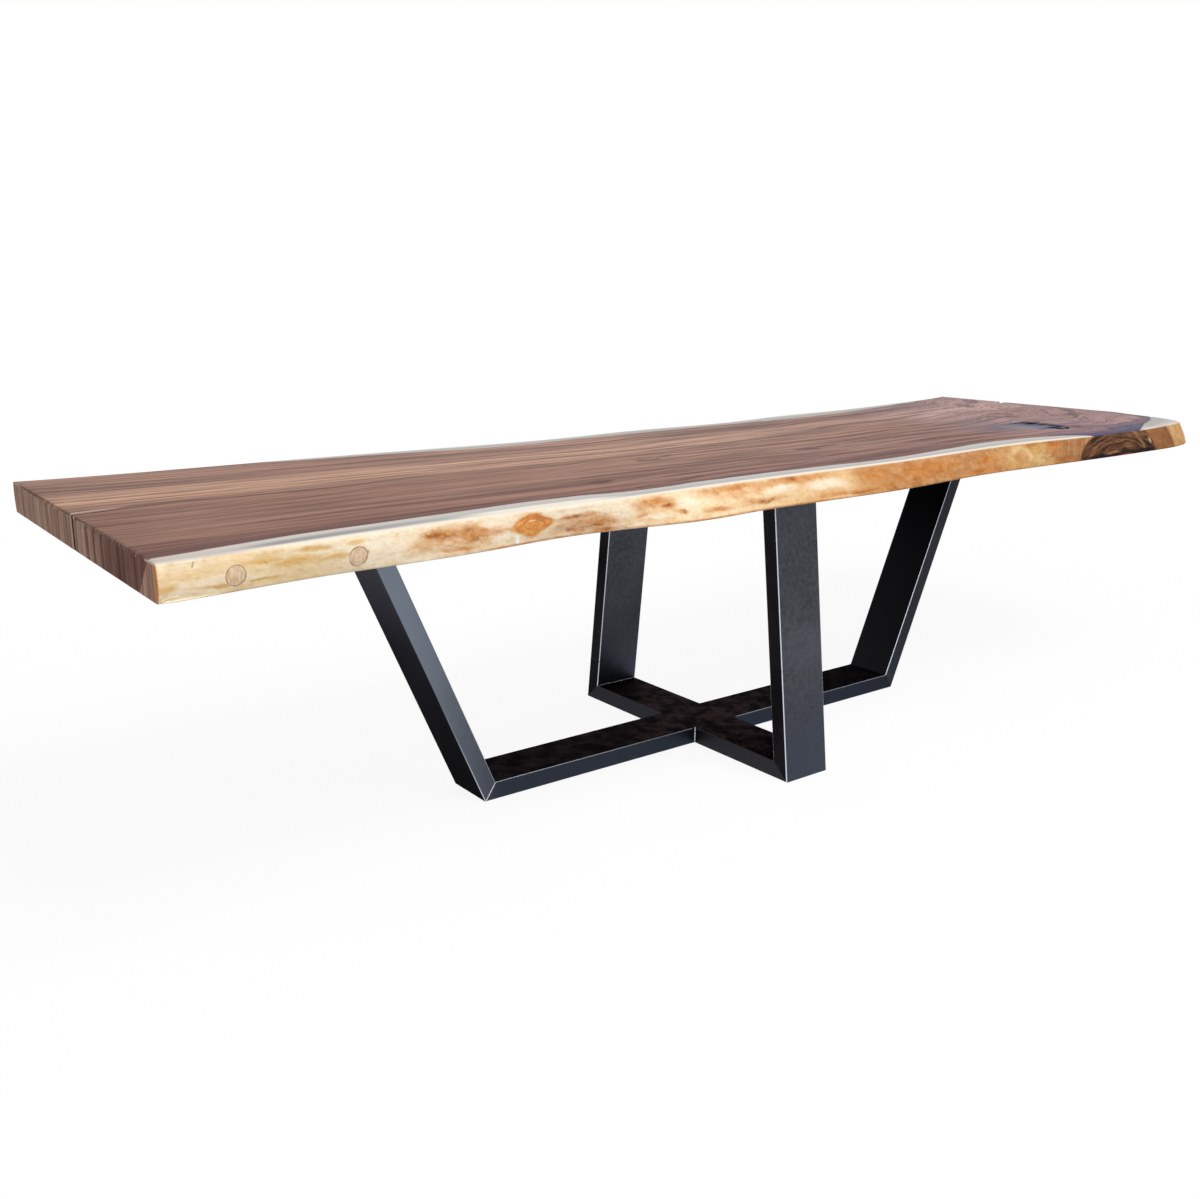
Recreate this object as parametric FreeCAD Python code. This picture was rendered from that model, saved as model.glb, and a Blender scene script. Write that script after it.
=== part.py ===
import FreeCAD, Part
import math
import os

# Live edge dining table: one thick board with natural long edges, bolted to a welded steel base.
# The base is a plus-shaped cross of rectangular bars on the floor, with four legs mitred to its ends.
# Frame: +Z up, +X along the board to its wide end, origin on the floor at the centre of the cross.
# All lengths are in millimetres and all angles in degrees.

# ---- whole table ----
TABLE_HEIGHT = 770.0

# ---- board ----
BOARD_THICKNESS = 64.0
LEFT_OVERALL = 1566.0       # cross centre to the sawn left end
RIGHT_OVERALL = 1794.0      # cross centre to the sawn right end, on the cross's axis
LEFT_SAW_SKEW = -0.7        # how far each end is sawn from square, seen from above
RIGHT_SAW_SKEW = 1.6
FRONT_REACH = 460.0         # cross centre to the mean front edge
BACK_REACH = 400.0          # cross centre to the mean back edge
EDGE_BULGE = 5.0            # how far the middle of a live edge stands out
TOP_ARRIS_ROUND = 8.0       # rounding along the live edges, above and below
FOOT_ARRIS_ROUND = 4.0

# Live edges seen from above: (place along the board's length from 0 to 1, wander out from the mean edge).
FRONT_TOP = [(-0.02, 89), (0.03, 79), (0.08, 67), (0.17, 43), (0.23, 33), (0.28, 25), (0.33, 14), (0.38, 6),
             (0.44, -1), (0.53, -8), (0.62, -34), (0.70, -49), (0.79, -37), (0.88, -49), (0.94, -72),
             (0.964, -96), (0.978, -150), (0.987, -235), (0.999, -370), (1.02, -480)]
FRONT_FOOT = [(-0.02, 94), (0.03, 75), (0.08, 57), (0.17, 48), (0.23, 24), (0.28, 32), (0.33, 52), (0.38, 38),
              (0.44, 32), (0.53, 26), (0.62, -6), (0.70, -12), (0.79, -12), (0.88, -17), (0.94, -36),
              (0.965, -68), (0.981, -128), (0.990, -226), (1.002, -370), (1.025, -480)]
BACK_TOP = [(-0.02, 28), (0.06, 3), (0.14, 3), (0.22, 2), (0.30, -10), (0.40, -15), (0.50, 22), (0.60, 27),
            (0.68, 74), (0.78, 104), (0.88, 158), (0.95, 202), (1.03, 285)]
BACK_FOOT = [(-0.02, 18), (0.06, 8), (0.14, 12), (0.22, 14), (0.30, 8), (0.40, 6), (0.50, 38), (0.60, 48),
             (0.68, 92), (0.78, 120), (0.88, 170), (0.95, 214), (1.03, 297)]

# Drying checks: open wedges through the board's thickness, from a sawn end inwards.
LEFT_CHECK_LENGTH = 226.0
LEFT_CHECK_MOUTH = 6.0
LEFT_CHECK_Y = -66.0        # middle of the mouth
LEFT_CHECK_RUN = 41.0       # how far its tip lies further back than its mouth
RIGHT_CHECK_LENGTH = 70.0
RIGHT_CHECK_MOUTH = 12.0
RIGHT_CHECK_Y = 378.0
RIGHT_CHECK_RUN = -32.0

# Knot hole near the right end, filled level with resin. Its corners are places from its own middle.
KNOT_X = 1155.0
KNOT_Y = -178.0
KNOT_DEPTH = 30.0
KNOT_OUTLINE = [(-112, -12), (-92, 50), (-30, 92), (40, 96), (92, 66),
                (88, 0), (80, -78), (48, -104), (14, -102), (-50, -64)]

# ---- steel section of the base ----
BAR_WIDTH = 140.0
BAR_DEPTH = 43.0
BAR_WALL = 5.0
BAR_CORNER = 2.5            # outside corner radius

LONG_BAR_HALF = 721.0       # cross centre to the outer bottom corner of a side leg
SIDE_LEG_LEAN = 23.25       # outwards, from upright
CROSS_BAR_HALF = 409.0
END_LEG_LEAN = -6.58        # inwards

# ---- top plates ----
PLATE_THICKNESS = 6.0
PLATE_LONG = 230.0          # across the leg's broad way
PLATE_SHORT = 120.0
PLATE_CORNER = 10.0
BOLT_FROM_END = 22.0        # bolt to the plate's short side
BOLT_FROM_SIDE = 20.0       # bolt to the plate's long side
SLOT_WIDTH = 9.0
SLOT_TRAVEL = 9.0           # slot length beyond its width, across the grain

# ---- bolts, washers and inserts that hold the board ----
BOLT_DIAMETER = 8.0
BOLT_LENGTH = 25.0
BOLT_HEAD_ACROSS = 13.0
BOLT_HEAD_HEIGHT = 5.3
WASHER_DIAMETER = 22.0
WASHER_THICKNESS = 2.0
INSERT_DIAMETER = 12.0
INSERT_LENGTH = 20.0
INSERT_HOLE_SPARE = 3.0     # hole deeper than the insert
THREAD_CLEARANCE = 0.05     # radial, between a thread and what it screws into
HOLE_CLEARANCE = 0.5        # radial, between a shank and a plain hole

# ---- tie rods across the left end ----
ROD_PLACES = [-1449.0, -1233.0]
ROD_HEIGHT_BELOW_TOP = 36.5
ROD_DIAMETER = 12.0
NUT_ACROSS = 19.0
NUT_HEIGHT = 10.0
ROD_BEYOND_NUT = 2.0
ROD_WASHER_DIAMETER = 30.0
ROD_WASHER_THICKNESS = 3.0
PLUG_DIAMETER = 35.0
PLUG_LENGTH = 16.0          # from the outermost point of the live edge at the plug
PLUG_CLEARANCE = 0.05       # radial

# ---- values that follow from the ones above ----
BOARD_LENGTH = LEFT_OVERALL + RIGHT_OVERALL
BOARD_FOOT = TABLE_HEIGHT - BOARD_THICKNESS
LEG_TOP = BOARD_FOOT - PLATE_THICKNESS
MARGIN = 200.0              # spare length of a cutting body
UP = FreeCAD.Vector(0, 0, 1)


def vec(x, y, z):
    return FreeCAD.Vector(x, y, z)


def save(name, solids):
    """Write one node: a single solid, or a group of separate ones."""
    shape = solids[0] if len(solids) == 1 else Part.makeCompound(solids)
    shape.exportStep("parts/" + name + ".step")


def prism(corners, direction):
    """Solid swept from a closed polygon."""
    return Part.Face(Part.makePolygon(corners + [corners[0]])).extrude(direction)


def hexagon(across, height, foot, direction):
    """Hexagonal prism: its foot's centre, its width across flats and its direction."""
    side = across / math.sqrt(3.0)
    body = prism([vec(side * math.cos(math.radians(60 * i)), side * math.sin(math.radians(60 * i)), 0)
                  for i in range(6)], vec(0, 0, height))
    body.Placement = FreeCAD.Placement(foot, FreeCAD.Rotation(UP, direction))
    return body


# ---------------------------------------------------------------- board

def edge_curve(points, reach, side, bulge, z):
    """Live edge at one level. side is -1 for the front and +1 for the back."""
    places = [vec(place * BOARD_LENGTH - LEFT_OVERALL, side * (reach + wander + bulge), z)
              for place, wander in points]
    curve = Part.BSplineCurve()
    curve.interpolate(places)
    return curve.toShape(), places[0], places[-1]


def between(a, b):
    """Points halfway between two live edges."""
    return [((p[0] + q[0]) / 2.0, (p[1] + q[1]) / 2.0) for p, q in zip(a, b)]


def board_level(front, back, bulge, z):
    """Closed outline of the board at one level, longer than the sawn board."""
    front_edge, front_left, front_right = edge_curve(front, FRONT_REACH, -1, bulge, z)
    back_edge, back_left, back_right = edge_curve(back, BACK_REACH, 1, bulge, z)
    return Part.Wire([front_edge, Part.makeLine(front_right, back_right), back_edge,
                      Part.makeLine(back_left, front_left)])


def end_saw(x, skew, outward):
    """Block that saws off one end. outward is -1 at the left and +1 at the right."""
    wide = 2.0 * (FRONT_REACH + BACK_REACH + MARGIN)
    block = Part.makeBox(2.0 * MARGIN, wide, BOARD_THICKNESS + 2.0 * MARGIN)
    block.translate(vec(0 if outward > 0 else -2.0 * MARGIN, -wide / 2.0, BOARD_FOOT - MARGIN))
    block.rotate(vec(0, 0, 0), UP, skew)
    block.translate(vec(x, 0, 0))
    return block


def live_edge_arrises(solid, z):
    """Long curved edges of the board at one level."""
    return [edge for edge in solid.Edges
            if edge.BoundBox.ZLength < 0.01 and abs(edge.BoundBox.ZMin - z) < 0.01
            and edge.Length > BOARD_LENGTH / 2.0 and edge.Curve.TypeId != "Part::GeomLine"]


def make_board_blank():
    """Sawn board with its live edges, before any hole is made."""
    levels = [board_level(FRONT_FOOT, BACK_FOOT, 0.0, BOARD_FOOT),
              board_level(between(FRONT_FOOT, FRONT_TOP), between(BACK_FOOT, BACK_TOP), EDGE_BULGE,
                          BOARD_FOOT + BOARD_THICKNESS / 2.0),
              board_level(FRONT_TOP, BACK_TOP, 0.0, TABLE_HEIGHT)]
    board = Part.makeLoft(levels, True, False)
    board = board.cut(end_saw(-LEFT_OVERALL, LEFT_SAW_SKEW, -1))
    board = board.cut(end_saw(RIGHT_OVERALL, -RIGHT_SAW_SKEW, 1))
    board = board.makeFillet(TOP_ARRIS_ROUND, live_edge_arrises(board, TABLE_HEIGHT))
    return board.makeFillet(FOOT_ARRIS_ROUND, live_edge_arrises(board, BOARD_FOOT))


def drying_check(x, inward, length, mouth, y, run):
    """Open wedge from a sawn end at x. inward is +1 at the left end and -1 at the right."""
    out = -inward * MARGIN
    spread = mouth / 2.0 * (length + MARGIN) / length
    slope = run / length
    return prism([vec(x + out, y - slope * MARGIN - spread, BOARD_FOOT - MARGIN),
                  vec(x + out, y - slope * MARGIN + spread, BOARD_FOOT - MARGIN),
                  vec(x + inward * length, y + run, BOARD_FOOT - MARGIN)],
                 vec(0, 0, BOARD_THICKNESS + 2.0 * MARGIN))


def knot_prism(height):
    return prism([vec(KNOT_X + x, KNOT_Y + y, TABLE_HEIGHT - KNOT_DEPTH) for x, y in KNOT_OUTLINE],
                 vec(0, 0, height))


# ---------------------------------------------------------------- tie rods

def board_span(blank, x, z):
    """Front and back limits of the board along Y at one place."""
    reach = FRONT_REACH + BACK_REACH + MARGIN
    chord = Part.makeLine(vec(x, -reach, z), vec(x, reach, z)).common(blank)
    return chord.BoundBox.YMin, chord.BoundBox.YMax


def rod_group(blank, x):
    """One tie rod with a washer, a nut and a plug at each end, and the hole it needs."""
    z = TABLE_HEIGHT - ROD_HEIGHT_BELOW_TOP
    front, back = board_span(blank, x, z)
    pocket_depth = PLUG_LENGTH + ROD_BEYOND_NUT + NUT_HEIGHT + ROD_WASHER_THICKNESS
    radius = ROD_DIAMETER / 2.0
    rod = Part.makeCylinder(radius, back - front - 2.0 * PLUG_LENGTH, vec(x, front + PLUG_LENGTH, z),
                            vec(0, 1, 0))
    bore = Part.makeCylinder(radius + HOLE_CLEARANCE, back - front, vec(x, front, z), vec(0, 1, 0))
    group = {"rod": rod, "bore": [bore], "washers": [], "nuts": [], "plugs": []}
    for skin, inward in ((front, 1), (back, -1)):
        seat = vec(x, skin + inward * pocket_depth, z)
        outward = vec(0, -inward, 0)
        open_end = MARGIN + pocket_depth
        group["bore"].append(Part.makeCylinder(PLUG_DIAMETER / 2.0, open_end, seat, outward))
        washer = Part.makeCylinder(ROD_WASHER_DIAMETER / 2.0, ROD_WASHER_THICKNESS, seat, outward)
        nut = hexagon(NUT_ACROSS, NUT_HEIGHT, seat + outward * ROD_WASHER_THICKNESS, outward)
        thread = Part.makeCylinder(radius + THREAD_CLEARANCE, MARGIN, seat - outward * MARGIN / 2.0, outward)
        group["washers"].append(washer.cut(thread))
        group["nuts"].append(nut.cut(thread))
        inner = vec(x, skin + inward * PLUG_LENGTH, z)
        plug = Part.makeCylinder(PLUG_DIAMETER / 2.0 - PLUG_CLEARANCE, MARGIN, inner, outward)
        group["plugs"].append(plug.common(blank))
    return group


# ---------------------------------------------------------------- base

def bar_section(wall_in):
    """Rectangle wall_in inside the bar's skin, on the origin: its width along X, its depth along Y."""
    half_w = BAR_WIDTH / 2.0 - wall_in
    half_d = BAR_DEPTH / 2.0 - wall_in
    corners = [vec(-half_w, -half_d, 0), vec(half_w, -half_d, 0),
               vec(half_w, half_d, 0), vec(-half_w, half_d, 0)]
    return Part.Face(Part.makePolygon(corners + [corners[0]]))


def straight_bar(length):
    """Hollow bar along +Z from the origin, its width along X and its depth along Y."""
    skin = bar_section(0.0).extrude(vec(0, 0, length))
    corners = [edge for edge in skin.Edges if edge.BoundBox.ZLength > length / 2.0]
    skin = skin.makeFillet(BAR_CORNER, corners)
    return skin.cut(bar_section(BAR_WALL).extrude(vec(0, 0, length)))


def lean_slope(lean):
    return math.tan(math.radians(lean))


def lean_stretch(lean):
    """Level width of a leaning leg for each unit of its depth."""
    return 1.0 / math.cos(math.radians(lean))


def mitre_run(lean):
    """How far the mitre moves outwards for each unit of height."""
    return lean_slope(lean) - lean_stretch(lean)


def upright_trim(profile):
    """Trimming body: a profile in the XZ plane, wider than a bar."""
    corners = [vec(x, -BAR_WIDTH, z) for x, z in profile]
    return prism(corners, vec(0, 2.0 * BAR_WIDTH, 0))


def make_leg(half, lean):
    """Leg at +X: mitred at its foot and sawn level under its plate."""
    length = (LEG_TOP + 2.0 * MARGIN) * lean_stretch(lean)
    bar = straight_bar(length)
    bar.rotate(vec(0, 0, 0), UP, 90)
    bar.translate(vec(-BAR_DEPTH / 2.0, 0, -MARGIN * lean_stretch(lean)))
    bar.rotate(vec(0, 0, 0), vec(0, 1, 0), lean)
    bar.translate(vec(half, 0, 0))
    run = mitre_run(lean)
    top = half + lean_slope(lean) * LEG_TOP
    trim = upright_trim([(half - run * MARGIN, -MARGIN), (top + MARGIN, -MARGIN), (top + MARGIN, LEG_TOP),
                         (top - MARGIN, LEG_TOP), (half + run * (BAR_DEPTH + MARGIN), BAR_DEPTH + MARGIN)])
    return bar.common(trim)


def lying_bar(start, end):
    """Hollow bar on the floor along X."""
    bar = straight_bar(end - start)
    bar.rotate(vec(0, 0, 0), UP, 90)
    bar.rotate(vec(0, 0, 0), vec(0, 1, 0), 90)
    bar.translate(vec(start, 0, BAR_DEPTH / 2.0))
    return bar


def mitre_cut(half, lean):
    """Body that takes off all beyond the mitre plane of the leg at +X."""
    run = mitre_run(lean)
    top = BAR_DEPTH + MARGIN
    return upright_trim([(half - run * MARGIN, -MARGIN), (half + MARGIN, -MARGIN), (half + MARGIN, top),
                         (half + run * top, top)])


def turned(shape, angle):
    """Copy turned about the cross's axis."""
    copy = shape.copy()
    copy.rotate(vec(0, 0, 0), UP, angle)
    return copy


def leg_top_middle(half, lean):
    """How far from the cross's axis the middle of a leg's top lies."""
    return half + lean_slope(lean) * LEG_TOP - BAR_DEPTH * lean_stretch(lean) / 2.0


# ---------------------------------------------------------------- top plates and their fasteners

def bolt_places(centre, size):
    """Middle of each bolt of one plate. size is the plate's extent along X and along Y."""
    from_x = BOLT_FROM_SIDE if size[0] < size[1] else BOLT_FROM_END
    from_y = BOLT_FROM_END if size[0] < size[1] else BOLT_FROM_SIDE
    return [(centre[0] + sx * (size[0] / 2.0 - from_x), centre[1] + sy * (size[1] / 2.0 - from_y))
            for sx in (-1, 1) for sy in (-1, 1)]


def slot(x, y, foot, height):
    """Round-ended slot body across the grain."""
    radius = SLOT_WIDTH / 2.0
    ends = [Part.makeCylinder(radius, height, vec(x, y + side * SLOT_TRAVEL / 2.0, foot)) for side in (-1, 1)]
    middle = Part.makeBox(SLOT_WIDTH, SLOT_TRAVEL, height, vec(x - radius, y - SLOT_TRAVEL / 2.0, foot))
    return middle.fuse(ends).removeSplitter()


def make_plate(centre, size):
    plate = Part.makeBox(size[0], size[1], PLATE_THICKNESS,
                         vec(centre[0] - size[0] / 2.0, centre[1] - size[1] / 2.0, LEG_TOP))
    corners = [edge for edge in plate.Edges if edge.BoundBox.ZLength > PLATE_THICKNESS / 2.0]
    plate = plate.makeFillet(PLATE_CORNER, corners)
    for x, y in bolt_places(centre, size):
        plate = plate.cut(slot(x, y, LEG_TOP - MARGIN, PLATE_THICKNESS + 2.0 * MARGIN))
    return plate


def make_bolt(x, y):
    head_foot = LEG_TOP - WASHER_THICKNESS - BOLT_HEAD_HEIGHT
    head = hexagon(BOLT_HEAD_ACROSS, BOLT_HEAD_HEIGHT, vec(x, y, head_foot), UP)
    shank = Part.makeCylinder(BOLT_DIAMETER / 2.0, BOLT_LENGTH, vec(x, y, head_foot + BOLT_HEAD_HEIGHT))
    return head.fuse(shank)


def ring(outer_radius, inner_radius, height, foot):
    """Upright ring."""
    return Part.makeCylinder(outer_radius, height, foot).cut(Part.makeCylinder(inner_radius, height, foot))


def make_washer(x, y):
    return ring(WASHER_DIAMETER / 2.0, BOLT_DIAMETER / 2.0 + HOLE_CLEARANCE, WASHER_THICKNESS,
                vec(x, y, LEG_TOP - WASHER_THICKNESS))


def make_insert(x, y):
    return ring(INSERT_DIAMETER / 2.0, BOLT_DIAMETER / 2.0 + THREAD_CLEARANCE, INSERT_LENGTH,
                vec(x, y, BOARD_FOOT))


def insert_hole(x, y):
    depth = INSERT_LENGTH + INSERT_HOLE_SPARE
    return Part.makeCylinder(INSERT_DIAMETER / 2.0 + THREAD_CLEARANCE, depth + MARGIN,
                             vec(x, y, BOARD_FOOT - MARGIN))


# ---------------------------------------------------------------- build

os.makedirs("parts", exist_ok=True)

# Base: the side legs stand on the long bar, the end legs on the two cross bars.
side_leg = make_leg(LONG_BAR_HALF, SIDE_LEG_LEAN)
end_leg = make_leg(CROSS_BAR_HALF, END_LEG_LEAN)
long_cut = mitre_cut(LONG_BAR_HALF, SIDE_LEG_LEAN)
long_bar = lying_bar(-LONG_BAR_HALF - MARGIN / 2.0, LONG_BAR_HALF + MARGIN / 2.0)
long_bar = long_bar.cut(long_cut).cut(turned(long_cut, 180))
cross_bar = lying_bar(BAR_WIDTH / 2.0, CROSS_BAR_HALF + MARGIN / 2.0)
cross_bar = cross_bar.cut(mitre_cut(CROSS_BAR_HALF, END_LEG_LEAN))

save("long_floor_bar", [long_bar])
save("cross_floor_bar_back", [turned(cross_bar, 90)])
save("cross_floor_bar_front", [turned(cross_bar, -90)])
save("leg_right", [side_leg])
save("leg_left", [turned(side_leg, 180)])
save("leg_back", [turned(end_leg, 90)])
save("leg_front", [turned(end_leg, -90)])

# Plates: each is long across its leg's broad way.
side_out = leg_top_middle(LONG_BAR_HALF, SIDE_LEG_LEAN)
end_out = leg_top_middle(CROSS_BAR_HALF, END_LEG_LEAN)
plates = {"top_plate_left": ((-side_out, 0.0), (PLATE_SHORT, PLATE_LONG)),
          "top_plate_right": ((side_out, 0.0), (PLATE_SHORT, PLATE_LONG)),
          "top_plate_front": ((0.0, -end_out), (PLATE_LONG, PLATE_SHORT)),
          "top_plate_back": ((0.0, end_out), (PLATE_LONG, PLATE_SHORT))}
bolts = []
for name, (centre, size) in plates.items():
    save(name, [make_plate(centre, size)])
    bolts += bolt_places(centre, size)
save("top_bolts", [make_bolt(x, y) for x, y in bolts])
save("top_washers", [make_washer(x, y) for x, y in bolts])
save("threaded_inserts", [make_insert(x, y) for x, y in bolts])

# Board, its tie rods and its resin.
blank = make_board_blank()
groups = [rod_group(blank, x) for x in ROD_PLACES]
board = blank.cut(drying_check(-LEFT_OVERALL, 1, LEFT_CHECK_LENGTH, LEFT_CHECK_MOUTH, LEFT_CHECK_Y,
                               LEFT_CHECK_RUN))
board = board.cut(drying_check(RIGHT_OVERALL, -1, RIGHT_CHECK_LENGTH, RIGHT_CHECK_MOUTH, RIGHT_CHECK_Y,
                               RIGHT_CHECK_RUN))
board = board.cut(knot_prism(MARGIN))
for x, y in bolts:
    board = board.cut(insert_hole(x, y))
for group in groups:
    for hole in group["bore"]:
        board = board.cut(hole)
save("slab", board.Solids)
save("knot_resin_fill", [knot_prism(KNOT_DEPTH)])
save("tie_rods", [group["rod"] for group in groups])
save("tie_rod_washers", [washer for group in groups for washer in group["washers"]])
save("tie_rod_nuts", [nut for group in groups for nut in group["nuts"]])
save("edge_plugs_front", [group["plugs"][0] for group in groups])
save("edge_plugs_back", [group["plugs"][1] for group in groups])
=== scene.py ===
import math

import bpy
from mathutils import Matrix, Vector


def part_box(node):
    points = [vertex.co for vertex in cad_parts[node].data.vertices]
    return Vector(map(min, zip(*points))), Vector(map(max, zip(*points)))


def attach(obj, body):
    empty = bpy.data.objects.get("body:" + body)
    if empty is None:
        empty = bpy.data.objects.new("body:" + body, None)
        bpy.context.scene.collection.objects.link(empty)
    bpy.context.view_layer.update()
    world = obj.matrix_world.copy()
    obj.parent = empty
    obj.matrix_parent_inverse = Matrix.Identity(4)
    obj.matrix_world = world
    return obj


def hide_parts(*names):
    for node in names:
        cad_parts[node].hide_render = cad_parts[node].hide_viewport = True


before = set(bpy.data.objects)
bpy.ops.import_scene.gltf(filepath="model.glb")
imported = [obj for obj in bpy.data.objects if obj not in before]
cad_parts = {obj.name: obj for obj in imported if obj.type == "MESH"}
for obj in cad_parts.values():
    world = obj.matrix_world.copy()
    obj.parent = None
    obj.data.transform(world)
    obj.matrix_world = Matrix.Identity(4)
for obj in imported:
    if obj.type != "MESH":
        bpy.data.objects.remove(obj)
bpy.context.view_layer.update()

# Live edge dining table: a thick walnut-brown board with a pale sapwood edge, a burl and a filled
# knot, on a blackened steel base. Lengths are in metres. Colours are written as sRGB, 0 to 255.

BOARD_LOW, BOARD_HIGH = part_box("slab")
TOP = BOARD_HIGH[2]
FOOT = BOARD_LOW[2]

PLUG_RADIUS = 0.0175
PLUG_PLACES = (-1.449, -1.233)  # along X, on both live edges
PLUG_HEIGHT = 0.7335
LEFT_CHECK_Y = -0.066  # mouths of the two drying checks
RIGHT_CHECK_Y = 0.378
LEFT_CHECK_LENGTH = 0.226
LEFT_CHECK_SLOPE = 0.1814  # how far it runs across for each metre along X
LEFT_CHECK_HALF = 0.0034  # half of its mouth, with the painted shade at its edges

# ---- the base ----
BAR_WIDTH = 0.14
BAR_DEPTH = 0.043
LONG_FOOT = 0.721  # cross centre to the outer bottom corner of a side leg
LONG_MITRE = 0.6588  # how far the mitre runs inwards for each metre of height
CROSS_FOOT = 0.409  # the same for the front and back legs
CROSS_MITRE = 1.122

# ---- where things lie along and across the board ----
LEFT_SAW = -1.566  # sawn left end, on the board's axis
RIGHT_SAW = 1.794
LEFT_SLOPE = 0.0122  # how far the sawn ends run along X for each metre across
RIGHT_SLOPE = 0.0279
SPAN_START = -1.65  # the curves below are read between these two
SPAN_END = 1.95

# Places (along X, across Y) on the top: the two live edges, and the inner borders of the sapwood.
FRONT_EDGE = [
    (-1.65, -0.549), (-1.465, -0.539), (-1.297, -0.527), (-0.995, -0.503), (-0.793, -0.493),
    (-0.625, -0.485), (-0.457, -0.474), (-0.289, -0.466), (-0.088, -0.459), (0.215, -0.452),
    (0.517, -0.426), (0.786, -0.411), (1.088, -0.423), (1.391, -0.411), (1.592, -0.388), (1.673, -0.364),
    (1.72, -0.31), (1.75, -0.225), (1.791, -0.09), (1.95, 0.1)]
BACK_EDGE = [
    (-1.65, 0.428), (-1.364, 0.403), (-1.096, 0.403), (-0.827, 0.402), (-0.558, 0.39), (-0.222, 0.385),
    (0.114, 0.422), (0.45, 0.427), (0.719, 0.474), (1.055, 0.504), (1.391, 0.558), (1.626, 0.602),
    (1.95, 0.7)]
FRONT_HEART = [
    (-1.65, -0.53), (-1.5, -0.497), (-1.38, -0.474), (-1.3, -0.46), (-1.16, -0.448), (-1.0, -0.436),
    (-0.8, -0.417), (-0.7, -0.419), (-0.6, -0.432), (-0.5, -0.43), (-0.4, -0.419), (-0.1, -0.407),
    (0.2, -0.413), (0.5, -0.375), (0.8, -0.347), (1.0, -0.374), (1.06, -0.398), (1.1, -0.43),
    (1.24, -0.445), (1.33, -0.427), (1.407, -0.39), (1.496, -0.349), (1.59, -0.308), (1.686, -0.263),
    (1.85, -0.12), (1.95, 0.0)]
BACK_HEART = [
    (-1.65, 0.45), (-1.1, 0.405), (-0.94, 0.379), (-0.69, 0.352), (-0.414, 0.327), (-0.068, 0.355),
    (0.321, 0.378), (0.77, 0.404), (1.056, 0.448), (1.418, 0.535), (1.6, 0.6), (1.95, 0.73)]

WHITE = (1.0, 1.0, 1.0, 1.0)


# ---- shader kit ----

def paint(red, green, blue):
    """Linear colour of an sRGB one."""
    parts = [channel / 255.0 for channel in (red, green, blue)]
    return tuple(c / 12.92 if c <= 0.04045 else ((c + 0.055) / 1.055) ** 2.4 for c in parts) + (1.0,)


class Value:
    """A number worked out at each point of a surface, open to Python's arithmetic."""

    def __init__(self, nodes, socket):
        self.nodes = nodes
        self.socket = socket

    def math(self, operation, *others):
        return self.nodes.node("Math", [self, *others], operation=operation)

    def reflected(self, operation, other):
        return self.nodes.node("Math", [other, self], operation=operation)

    def __add__(self, other):
        return self.math("ADD", other)

    def __sub__(self, other):
        return self.math("SUBTRACT", other)

    def __mul__(self, other):
        return self.math("MULTIPLY", other)

    def __truediv__(self, other):
        return self.math("DIVIDE", other)

    def __pow__(self, other):
        return self.math("POWER", other)

    def __abs__(self):
        return self.math("ABSOLUTE")

    def __rsub__(self, other):
        return self.reflected("SUBTRACT", other)

    __radd__ = __add__
    __rmul__ = __mul__


class Nodes:
    """A node tree under construction."""

    def __init__(self, tree):
        self.tree = tree

    def node(self, kind, inputs=(), output=0, **settings):
        """Add a shader node: its settings first, then the values or links of its sockets."""
        made = self.tree.nodes.new("ShaderNode" + kind)
        for name, setting in settings.items():
            if name == "stops":
                self.set_stops(made.color_ramp, setting)
            elif name == "points":
                self.set_points(made.mapping, setting)
            else:
                setattr(made, name, setting)
        pairs = inputs.items() if isinstance(inputs, dict) else enumerate(inputs)
        for name, given in pairs:
            self.feed(made.inputs[name], given)
        return Value(self, made.outputs[output])

    def feed(self, socket, given):
        """Link a value to a socket, or set a number or colour on it."""
        if isinstance(given, Value):
            self.tree.links.new(given.socket, socket)
        else:
            socket.default_value = given

    @staticmethod
    def set_stops(band, stops):
        while len(band.elements) < len(stops):
            band.elements.new(1.0)
        for element, (place, colour) in zip(band.elements, stops):
            element.position = place
            element.color = colour

    @staticmethod
    def set_points(mapping, points):
        curve = mapping.curves[0]
        while len(curve.points) < len(points):
            curve.points.new(1.0, 1.0)
        for point, place in zip(curve.points, points):
            point.location = place
        mapping.update()

    def ray(self, kind):
        """1 to the rays of one kind."""
        return self.node("LightPath", output=f"Is {kind} Ray")

    def seen(self):
        """1 to the camera's own rays, and to those mirrored or refracted."""
        return any_of([self.ray(kind) for kind in ("Camera", "Glossy", "Transmission")])


class Finish(Nodes):
    """A material under construction, read in the object's own coordinates."""

    def __init__(self, name):
        self.material = bpy.data.materials.new(name)
        self.material.use_nodes = True
        super().__init__(self.material.node_tree)
        self.place = self.node("TexCoord", output="Object")
        axes = self.node("SeparateXYZ", [self.place]).socket.node.outputs
        self.x, self.y, self.z = [Value(self, axis) for axis in axes]

    def facing(self, axis):
        """How squarely the surface faces along an axis, either way: 0 to 1."""
        normal = self.node("TexCoord", output="Normal")
        return abs(self.node("SeparateXYZ", [normal], output=axis))

    def dress(self, **parts):
        """Feed the shader its parts; gives the finished material."""
        shader = self.tree.nodes["Principled BSDF"]
        for name, part in parts.items():
            self.feed(shader.inputs[name.replace("_", " ")], part)
        return self.material


def nodes_of(*parts):
    """The tree that the values among some parts belong to."""
    return next(part.nodes for part in parts if isinstance(part, Value))


def vector(x, y, z):
    return nodes_of(x, y, z).node("CombineXYZ", [x, y, z])


def noise(place, scale, detail, roughness=0.5):
    return place.nodes.node("TexNoise", {"Vector": place, "Scale": scale, "Detail": detail,
                                         "Roughness": roughness})


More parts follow.
